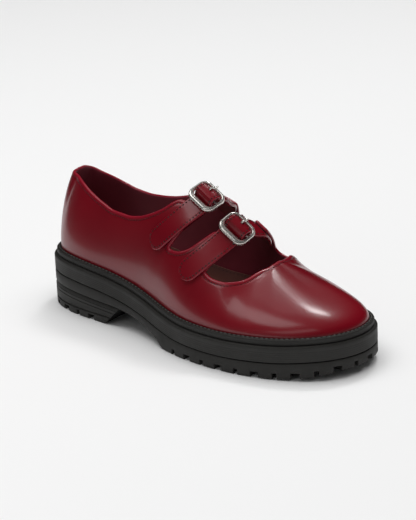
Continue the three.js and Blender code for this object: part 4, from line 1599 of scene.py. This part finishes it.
    def back_strip(self) -> None:
        """Builds the strip over the back seam, with its stitches."""
        form = self.form
        half_turn = self.strip_width / 2 / (2 * (form.length + form.width / 2))
        lows, highs = 0.006, float(form.topline(np.array([0.0]))[0]) - 0.012
        across = np.linspace(-1, 1, 25)
        rows = 60
        turn, up = np.meshgrid((1 + half_turn * across) % 1, np.linspace(lows, highs, rows))
        from_edge = (1 - np.abs(across)) * self.strip_width / 2
        edge_fall = np.clip(from_edge / self.strip_edge, 0, 1)
        crown = 0.1 + (self.strip_thickness - 0.1) * np.sqrt(1 - (1 - edge_fall) ** 2)
        groove = self.strip_stitch_dent * np.exp(-((from_edge - self.strip_stitch_inset) ** 2) / 0.3)
        skin, _ = form.skin(turn, up, np.broadcast_to(crown - groove, turn.shape))
        under, _ = form.skin(turn, up, HAIR)
        points = np.concatenate([skin, under[:, ::-1]], 1)
        # Painted highlight: the strip's raised edges take the lighter edge colour.
        edge = np.r_[0.7 * (1 - edge_fall), np.zeros(25)]
        edge = np.broadcast_to(edge, points.shape[:2]).astype(np.float32)
        faces = tube_faces(rows, 50)
        piece = build_mesh("heel_strip", points, faces, [Finish.CALF], edge=edge, crease=60)
        settle(piece, "upper_leather", "back_strip")
        lines = []
        for sign in (-1, 1):
            where = (1 + sign * half_turn * (1 - 2 * self.strip_stitch_inset / self.strip_width)) % 1
            ups = np.linspace(lows + 0.01, highs - 0.01, 60)
            lines.append(form.skin(where, ups, self.strip_thickness - HAIR)[0])
        settle(Sewing(thickness=0.36).sew("heel_strip_stitches", lines), "upper_leather")

    def build(self) -> None:
        """Builds the whole upper."""
        self.shell()
        self.side_seam()
        self.back_strip()


# Straps and buckles


@dataclass
class Fastening:
    """One strap with its buckle and prong. Distances run from the ridge, the outer side being negative."""

    form: LastForm
    name: str
    crossing: float
    sweep_back: float
    bar: float
    tip: float
    base: float
    ear: float
    width: float = 16.0
    thickness: float = 2.0
    sag: float = 2.0
    lift: float = 0.3
    side_rail: float = 2.3
    far_bar: float = 2.2
    near_bar: float = 4.0
    frame_thickness: float = 2.4
    reach: float = 6.2
    frame_round: float = 6.0
    side_clearance: float = 1.0
    bar_radius: float = 0.8
    prong_radius: float = 0.7
    prong_hole: float = 1.9
    tab_thickness: float = 0.8
    hole_radius: float = 0.95
    hole_pitch: float = 13.0
    seam_inset: float = 1.7
    seam_dent: float = 0.08
    crown: float = 0.14
    edge_radius: float = 0.75
    step: float = 0.8
    punched: float = 1.25  # radius of the hole that the prong fills
    dome: tuple[float, float] = (1.45, 0.45)  # the rail's rise and where it starts, in half thicknesses

    def __post_init__(self) -> None:
        """Walks the strap's way over the last."""
        form = self.form
        self.middle = self.lift + self.thickness / 2
        self.bar_lift = self.lift + self.thickness + 3 * form.gap + self.frame_thickness / 2
        self.tuck_lift = -form.wall - 2 * form.gap - self.thickness / 2
        over_bar = self.bar_radius + 4 * form.gap + self.tab_thickness + self.thickness / 2
        self.hump_lift = self.bar_lift + over_bar
        up = np.linspace(0.2, 1, 401)
        way = self.crossing - self.sweep_back * (1 - up) ** 3
        outer, outer_out = form.skin(way / 2, up)
        inner, inner_out = form.skin(1 - way / 2, up)
        self._points = np.vstack([outer, inner[::-1][1:]])
        self._out = np.vstack([outer_out, inner_out[::-1][1:]])
        self._along = unit(np.gradient(self._points, axis=0))
        walked = np.concatenate([[0], np.cumsum(np.linalg.norm(np.diff(self._points, axis=0), axis=1))])
        self._walked = walked - walked[400]

    def at(self, distance: np.ndarray, lift: float | np.ndarray) -> tuple[np.ndarray, ...]:
        """Finds places on the strap's way.

        Args:
            distance: how far from the ridge.
            lift: how far above the skin.

        Returns:
            The points and the directions out, along and to the side.
        """
        distance = np.atleast_1d(np.asarray(distance, float))

        def read(table: np.ndarray) -> np.ndarray:
            """Returns a table's rows at the distances."""
            return np.stack([np.interp(distance, self._walked, table[:, k]) for k in range(3)], -1)

        out, along = unit(read(self._out)), unit(read(self._along))
        point = read(self._points) + out * np.broadcast_to(lift, distance.shape)[:, None]
        return point, out, along, unit(np.cross(along, out))

    def rise(self, distance: np.ndarray) -> np.ndarray:
        """Works out the height of the strap's middle above the skin.

        Args:
            distance: how far from the ridge.

        Returns:
            The height there.
        """
        away = np.asarray(distance, float) - self.bar
        # The hump over the centre bar starts and ends inside the frame.
        ends = np.array([1.7 - self.reach, -1.8, 2.2, self.reach - 2])
        hump = monotone(ends, np.array([0.0, 1.0, 1.0, 0.0]))
        tuck = (self.ear - self.bar) / 2 + 3
        places = np.array([0, self.reach + self.far_bar / 2, tuck, self.ear - self.bar - 3])
        heights = [self.middle, self.middle - self.sag, self.tuck_lift - self.sag, self.tuck_lift]
        return monotone(places, np.array(heights))(away) + hump(away) * (self.hump_lift - self.middle)

    def _frame(self, distance: np.ndarray) -> tuple[np.ndarray, np.ndarray, np.ndarray]:
        """Finds the strap's middle line.

        Args:
            distance: how far from the ridge.

        Returns:
            The line's points, with its own directions to the side and out.
        """
        point, _, _, side = self.at(distance, self.rise(distance))
        along = unit(np.gradient(point, axis=0))
        return point, side, unit(np.cross(side, along))

    def _section(self, half: float) -> np.ndarray:
        """Works out the strap's section: a crowned top with two stitch grooves and rounded edges.

        Args:
            half: half the strap's width there.

        Returns:
            Points across and out.
        """
        corner = self.edge_radius
        thick = self.thickness / 2
        level = max(half - corner, HAIR)
        arc = np.linspace(-math.pi / 2, math.pi / 2, 9)
        right = np.stack([level + corner * np.cos(arc), thick * np.sin(arc)], 1)
        s = np.linspace(level, -level, 27)[1:-1]
        crown = self.crown * (1 - (s / max(half, 1)) ** 2)
        from_seam = half - np.abs(s) - self.seam_inset
        groove = self.seam_dent * np.exp(-(from_seam**2) / 0.2) * min(1.0, half / 4)
        top = np.stack([s, thick + crown - groove], 1)
        left = np.stack([-right[::-1][:, 0], right[::-1][:, 1]], 1)
        bottom = np.stack([np.linspace(-level, level, 6)[1:-1], np.full(4, -thick)], 1)
        return np.vstack([right, top, left, bottom])

    def strap(self) -> None:
        """Builds the strap with its holes and stitches."""
        half = self.width / 2
        end = half * (1 - np.cos(np.linspace(0.12, math.pi / 2, 22)))
        rest = np.arange(self.tip + half + self.step, self.base, self.step)
        steps = np.concatenate([self.tip + end, rest])
        from_end = np.minimum(steps - self.tip, half)
        widths = np.maximum(np.sqrt(half**2 - (half - from_end) ** 2), 0.8)
        point, side, out = self._frame(steps)
        sections = np.stack([self._section(w) for w in widths])
        loops = sweep(point, side, out, sections)
        columns = sections.shape[1]
        edge = np.zeros(loops.shape[:2], np.float32)
        # Painted highlight: the strap's rounded edges take the lighter edge colour.
        edge[:, [*range(2, 8), *range(columns - 11, columns - 5)]] = 0.35
        faces = tube_faces(len(steps), columns)
        piece = build_mesh(f"{self.name}_strap_leather", loops, faces, [Finish.CALF], edge=edge)
        holes = [self._hole(self.bar + self.prong_hole, self.punched)]
        holes.append(self._hole(self.bar + self.prong_hole + self.hole_pitch, self.hole_radius))
        carve(piece, join("holes", holes), 0.0)
        settle(piece, "upper_leather", f"{self.name}_strap")
        # The real thread is too fine to show from here, so that it is drawn thicker.
        thread = Sewing(pitch=2.6, length=1.35, thickness=0.95)
        settle(thread.sew(f"{self.name}_strap_stitches", self._seams()), "upper_leather")

    def _hole(self, distance: float, radius: float) -> bpy.types.Object:
        """Makes a punch that cuts a round hole through the strap.

        Args:
            distance: how far from the ridge.
            radius: the hole's radius.

        Returns:
            The punch.
        """
        around = np.linspace(0, 2 * math.pi, 17)[:-1]
        pair = np.array([distance, distance + 0.1])
        point, side, out = (rows[0] for rows in self._frame(pair))
        along = np.cross(out, side)
        ring = np.cos(around)[:, None] * side * radius + np.sin(around)[:, None] * along * radius
        loops = np.stack([point + ring - out * 3, point + ring + out * 3])
        return build_mesh("punch", loops, tube_faces(2, 16), [Finish.CALF_EDGE])

    def _seams(self) -> list[np.ndarray]:
        """Draws the line of the strap's stitches.

        Returns:
            One line, up one edge, round the free end and down the other.
        """
        radius = self.width / 2 - self.seam_inset
        turning = self.tip + self.width / 2
        straight = np.arange(self.ear - 1.0, turning, -0.5)
        angles = np.linspace(0, math.pi, 40)
        distances = np.concatenate([straight, turning - radius * np.sin(angles), straight[::-1]])
        edge = np.full(len(straight), radius)
        shifts = np.concatenate([edge, radius * np.cos(angles), -edge])
        order = np.argsort(distances)
        spread = distances[order] + np.arange(len(order)) * 1e-7
        point, side, out = (np.empty((len(order), 3)) for _ in range(3))
        fine = np.linspace(self.tip, self.base, 900)
        frames = self._frame(fine)
        for target, table in zip((point, side, out), frames):
            for k in range(3):
                target[order, k] = np.interp(spread, fine, table[:, k])
        return [point + unit(side) * shifts[:, None] + unit(out) * (self.thickness / 2 + HAIR)]

    def _place(self, local: np.ndarray) -> np.ndarray:
        """Places points on the shoe, from across, along and out of the buckle's middle."""
        point, _, along, side = (rows[0] for rows in self.at(np.array([self.bar]), self.bar_lift))
        return point + local @ np.stack([side, along, np.cross(side, along)])

    def _rounded(self, share: float, height: float) -> np.ndarray:
        """Draws a rounded rectangle inside the frame's rail.

        Args:
            share: the share of the rail's width.
            height: how far out it lies.

        Returns:
            Its points.
        """
        inner = np.array([self.width / 2 + self.side_clearance, self.reach])
        outer = np.array([inner[0] + self.side_rail, self.reach + (self.far_bar + self.near_bar) / 2])
        half = inner + (outer - inner) * share
        turn = self.frame_round - self.side_rail * (1 - share)
        shift = (self.far_bar - self.near_bar) / 2 * share
        per = 14
        points = []
        for corner, (a, b) in enumerate(((1, 1), (-1, 1), (-1, -1), (1, -1))):
            for angle in (corner + np.linspace(0, 1, per)) * math.pi / 2:
                x = a * (half[0] - turn) + turn * math.cos(angle)
                y = b * (half[1] - turn) + turn * math.sin(angle) + shift
                points.append((x, y, height))
        return np.array(points)

    def buckle(self) -> None:
        """Builds the domed frame with its centre bar."""
        half = self.frame_thickness / 2
        high, low = self.dome
        profile = [(0.92, -half), (1.0, -half * 0.75)]
        for angle in np.linspace(0, math.pi, 15)[1:-1]:
            profile.append((0.5 + 0.5 * math.cos(angle), half * (high * math.sin(angle) ** 0.7 - low)))
        profile += [(0.0, -half * 0.75), (0.08, -half), (0.92, -half)]
        loops = np.stack([self._place(self._rounded(share, z)) for share, z in profile])
        count = loops.shape[1]
        faces = grid_faces(len(loops), count).tolist()
        reach = self.width / 2 + self.side_clearance + 0.6
        around = np.linspace(0, 2 * math.pi, 17)[:-1]
        ring = np.stack([np.zeros(16), self.bar_radius * np.cos(around), self.bar_radius * np.sin(around)], 1)
        bar = np.stack([self._place(ring + np.array([x, 0, 0])) for x in (-reach, reach)])
        start = loops.size // 3
        faces += [[start + k for k in face] for face in tube_faces(2, 16)]
        points = np.vstack([loops.reshape(-1, 3), bar.reshape(-1, 3)])
        piece = build_mesh(f"{self.name}_buckle_frame", points, faces, [Finish.NICKEL], crease=50)
        settle(piece, "buckle_metal", f"{self.name}_buckle")

    def prong(self) -> None:
        """Builds the prong: hooked round the centre bar, up through the strap and over the far bar."""
        hook = self.bar_radius + self.form.gap + self.prong_radius
        rest = self.frame_thickness / 2 + self.prong_radius + 0.1
        over = self.hump_lift - self.bar_lift + self.thickness / 2 + self.form.gap + self.prong_radius
        # Its middle line: how far along from the centre bar, and how far out.
        course = np.array(
            [
                (-hook * 0.6, -hook * 0.8),
                (0.0, -hook),
                (hook * 0.7, -hook * 0.7),
                (hook, 0.5),
                (self.prong_hole - 0.1, over / 2),
                (self.prong_hole + 0.4, over - 0.6),
                (self.prong_hole + 1.3, over - 0.1),
                (self.prong_hole + 2.5, (over + rest) / 2 + 0.3),
                (self.reach - 0.5, rest + 0.7),
                (self.reach + self.far_bar / 2, rest + 0.05),
                (self.reach + self.far_bar + 1.2, rest - 0.35),
            ]
        )
        lengths = np.concatenate([[0], np.cumsum(np.linalg.norm(np.diff(course, axis=0), axis=1))])
        fine = np.linspace(0, lengths[-1], 90)
        line = np.stack([smooth_line(lengths, course[:, k], fine) for k in (0, 1)], 1)
        centre = np.column_stack([np.zeros(90), line])
        along = unit(np.gradient(centre, axis=0))
        side = np.tile([1.0, 0.0, 0.0], (90, 1))
        angles = np.linspace(0, 2 * math.pi, 13)[:-1]
        circle = np.stack([np.cos(angles), np.sin(angles)], 1)
        left = lengths[-1] - fine
        radii = self.prong_radius * np.sqrt(np.clip(left / 0.6, 0.02, 1)) * (1 - 0.12 * fine / lengths[-1])
        loops = sweep(centre, side, np.cross(side, along), circle[None] * radii[:, None, None])
        placed = self._place(loops.reshape(-1, 3))
        piece = build_mesh(f"{self.name}_prong_pin", placed, tube_faces(90, 12), [Finish.NICKEL], crease=60)
        settle(piece, "buckle_metal", f"{self.name}_prong")

    def build(self) -> None:
        """Builds the strap, the buckle and the prong."""
        self.strap()
        self.buckle()
        self.prong()


def smooth_line(at: np.ndarray, values: np.ndarray, where: np.ndarray) -> np.ndarray:
    """Reads a rounded line through values.

    Args:
        at: where the values stand.
        values: the values.
        where: where to read the line.

    Returns:
        The line's values.
    """
    slope = np.gradient(values, at)
    i = np.clip(np.searchsorted(at, where, side="left") - 1, 0, len(at) - 2)
    span = at[i + 1] - at[i]
    s = (where - at[i]) / span
    rest = 1 - s
    ends = (1 + 2 * s) * rest**2 * values[i] + s**2 * (3 - 2 * s) * values[i + 1]
    return ends + (s * rest**2 * slope[i] - s**2 * rest * slope[i + 1]) * span


# The studio


@dataclass
class Studio:
    """Pale floor, soft lights and the camera at the photo's angle."""

    camera_place: tuple[float, float, float] = (0.94156, -0.98898, 0.52625)
    target: tuple[float, float, float] = (0.002, 0.0, 0.05)
    roll: float = 2.45  # degrees
    lens: float = 148.0  # mm
    floor_size: float = 30.0
    flag_angle: float = -108.0  # degrees from the toe's direction
    flag_distance: float = 0.2
    flag_size: tuple[float, float] = (1.6, 0.12)
    flag_lift: float = 0.004
    sun_strength: float = 1.74
    sun_spread: float = 60.0  # degrees
    sun_way: tuple[float, float, float] = (0.0, -0.17, -1.0)
    room_strength: float = 0.16

    @staticmethod
    def _paint(name: str, code: int, roughness: float, specular: float) -> bpy.types.Material:
        """Makes a plain material for a card.

        Args:
            name: its name.
            code: its colour as an sRGB code.
            roughness: its roughness.
            specular: its specular level.

        Returns:
            The material.
        """
        material = bpy.data.materials.new(name)
        material.use_nodes = True
        shader = material.node_tree.nodes["Principled BSDF"]
        shader.inputs["Base Color"].default_value = linear(code)
        shader.inputs["Roughness"].default_value = roughness
        shader.inputs["Specular IOR Level"].default_value = specular
        return material

    def floor(self) -> None:
        """Lays the floor."""
        paint = self._paint("painted_studio_floor", 0xEDEDED, 0.85, 0.1)
        self._card("floor", (0, 0, 0), (0, 0, 1), self.floor_size, self.floor_size, paint)

    def _card(
        self,
        name: str,
        centre: Sequence[float],
        normal: Sequence[float],
        width: float,
        height: float,
        material: bpy.types.Material,
    ) -> bpy.types.Object:
        """Stands a flat card in the studio.

        Args:
            name: its name.
            centre: its middle, in metres.
            normal: the way it faces.
            width: its width in metres.
            height: its height in metres.
            material: its material.

        Returns:
            The card.
        """
        turn = Vector(normal).to_track_quat("Z", "Y").to_matrix().to_4x4()
        stand = Matrix.Translation(Vector(centre)) @ turn
        signs = ((-1, -1), (1, -1), (1, 1), (-1, 1))
        corners = [stand @ Vector((a * width / 2, b * height / 2, 0)) for a, b in signs]
        mesh = bpy.data.meshes.new(name)
        mesh.from_pydata(corners, [], [(0, 1, 2, 3)])
        mesh.materials.append(material)
        card = add_object(name, mesh)
        return card

    def flag(self) -> None:
        """Stands a dark card beside the shoe, which only its gloss sees, as the dark side of a studio."""
        turn = math.radians(self.flag_angle)
        width, height = self.flag_size
        distance = self.flag_distance
        centre = (distance * math.cos(turn), distance * math.sin(turn), height / 2 + self.flag_lift)
        felt = self._paint("black_felt_flag", 0x101010, 1.0, 0.0)
        card = self._card("side_flag", centre, (-math.cos(turn), -math.sin(turn), 0), width, height, felt)
        card.visible_camera = False
        card.visible_diffuse = False
        card.visible_shadow = False
        card.visible_transmission = False

    @staticmethod
    def _way(azimuth: float, height: float) -> Vector:
        """Returns a direction from the shoe, by its angle from the toe's and over the horizon, in degrees."""
        turn, rise = math.radians(azimuth), math.radians(height)
        return Vector((math.cos(rise) * math.cos(turn), math.cos(rise) * math.sin(turn), math.sin(rise)))

    def _lamp(
        self,
        name: str,
        start: tuple[float, float],
        end: tuple[float, float],
        width: float,
        radiance: float,
        distance: float = 1.7,
    ) -> None:
        """Hangs a soft box that faces the shoe.

        Args:
            name: its name.
            start: the direction of one end, from the toe's and over the horizon, in degrees.
            end: the direction of its other end.
            width: how wide it looks, in degrees.
            radiance: how bright its cloth looks, a white floor in the picture being about 0.9.
            distance: how far it hangs, in metres.
        """
        first, last = self._way(*start), self._way(*end)
        way = (first + last).normalized()
        along = (last - first - way * (last - first).dot(way)).normalized()
        data = bpy.data.lights.new(name, "AREA")
        data.shape = "RECTANGLE"
        data.size = 2 * distance * math.tan(first.angle(last) / 2)
        data.size_y = 2 * distance * math.tan(math.radians(width) / 2)
        data.energy = radiance * math.pi * data.size * data.size_y
        basis = Matrix((along, way.cross(along), way)).transposed()
        middle = Vector((0, 0, self.target[2]))
        place = Matrix.Translation(way * distance + middle)
        add_object(name, data).matrix_world = place @ basis.to_4x4()

    def lights(self) -> None:
        """Sets the soft boxes and the room's light."""
        # The wide, soft sheen on the vamp.
        self._lamp("vamp_box", (104, 54), (168, 64), 26, 0.7)
        # The small bright highlight over the toe.
        self._lamp("toe_strip", (102, 56), (117, 63), 6, 27.0)
        # The light bands on the straps and the outer quarter.
        self._lamp("strap_box", (-88, 67), (-160, 50), 24, 2.5)
        # What the buckles' near bars mirror.
        self._lamp("buckle_strip", (-95, 6), (-38, 56), 16, 1.0)
        sun = bpy.data.lights.new("sky", "SUN")
        sun.energy = self.sun_strength
        sun.angle = math.radians(self.sun_spread)
        lamp = add_object("sky", sun)
        lamp.rotation_euler = Vector(self.sun_way).to_track_quat("-Z", "Y").to_euler()
        lamp.visible_glossy = False
        world = bpy.data.worlds.new("room")
        world.use_nodes = True
        tree = world.node_tree
        tree.nodes.clear()
        values = {"Color": linear(0xF2F2F2), "Strength": self.room_strength}
        shade = add_node(tree, "ShaderNodeBackground", values=values)
        add_node(tree, "ShaderNodeOutputWorld", links={"Surface": shade.outputs["Background"]})
        world.cycles_visibility.glossy = False
        bpy.context.scene.world = world
        bpy.context.scene.view_settings.view_transform = "Standard"

    def camera(self) -> None:
        """Sets the camera."""
        data = bpy.data.cameras.new("camera")
        data.lens = self.lens
        data.sensor_width = 36
        place = Vector(self.camera_place)
        back = (place - Vector(self.target)).normalized()
        right = Vector((-back.y, back.x, 0)).normalized()
        up = back.cross(right)
        turn = math.radians(self.roll)
        rolled = right * math.cos(turn) - up * math.sin(turn)
        upright = right * math.sin(turn) + up * math.cos(turn)
        basis = Matrix((rolled, upright, back)).transposed()
        camera = add_object("camera", data)
        camera.matrix_world = Matrix.Translation(place) @ basis.to_4x4()
        bpy.context.scene.camera = camera

    def build(self) -> None:
        """Sets up the whole studio."""
        self.camera()
        self.floor()
        self.flag()
        self.lights()


def main() -> None:
    """Builds the shoe around the frame."""
    logging.basicConfig(level=logging.INFO, format="%(name)s %(message)s")
    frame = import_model()
    Studio().build()
    form = LastForm()
    Sole(form).build()
    Insole(form).build()
    Upper(form).build()
    rear = Fastening(
        form, "rear", crossing=0.36, sweep_back=0.075, bar=-12.3, tip=-63.6, base=38.0, ear=24.0
    )
    front = Fastening(
        form, "front", crossing=0.5, sweep_back=0.045, bar=-12.8, tip=-61.8, base=36.0, ear=21.5
    )
    for fastening in (rear, front):
        fastening.build()
        tab = frame["nodes"][f"{fastening.name}_tab"]
        tab.data.materials.clear()
        tab.data.materials.append(Finish.CALF_EDGE.material())


if __name__ == "__main__":
    main()
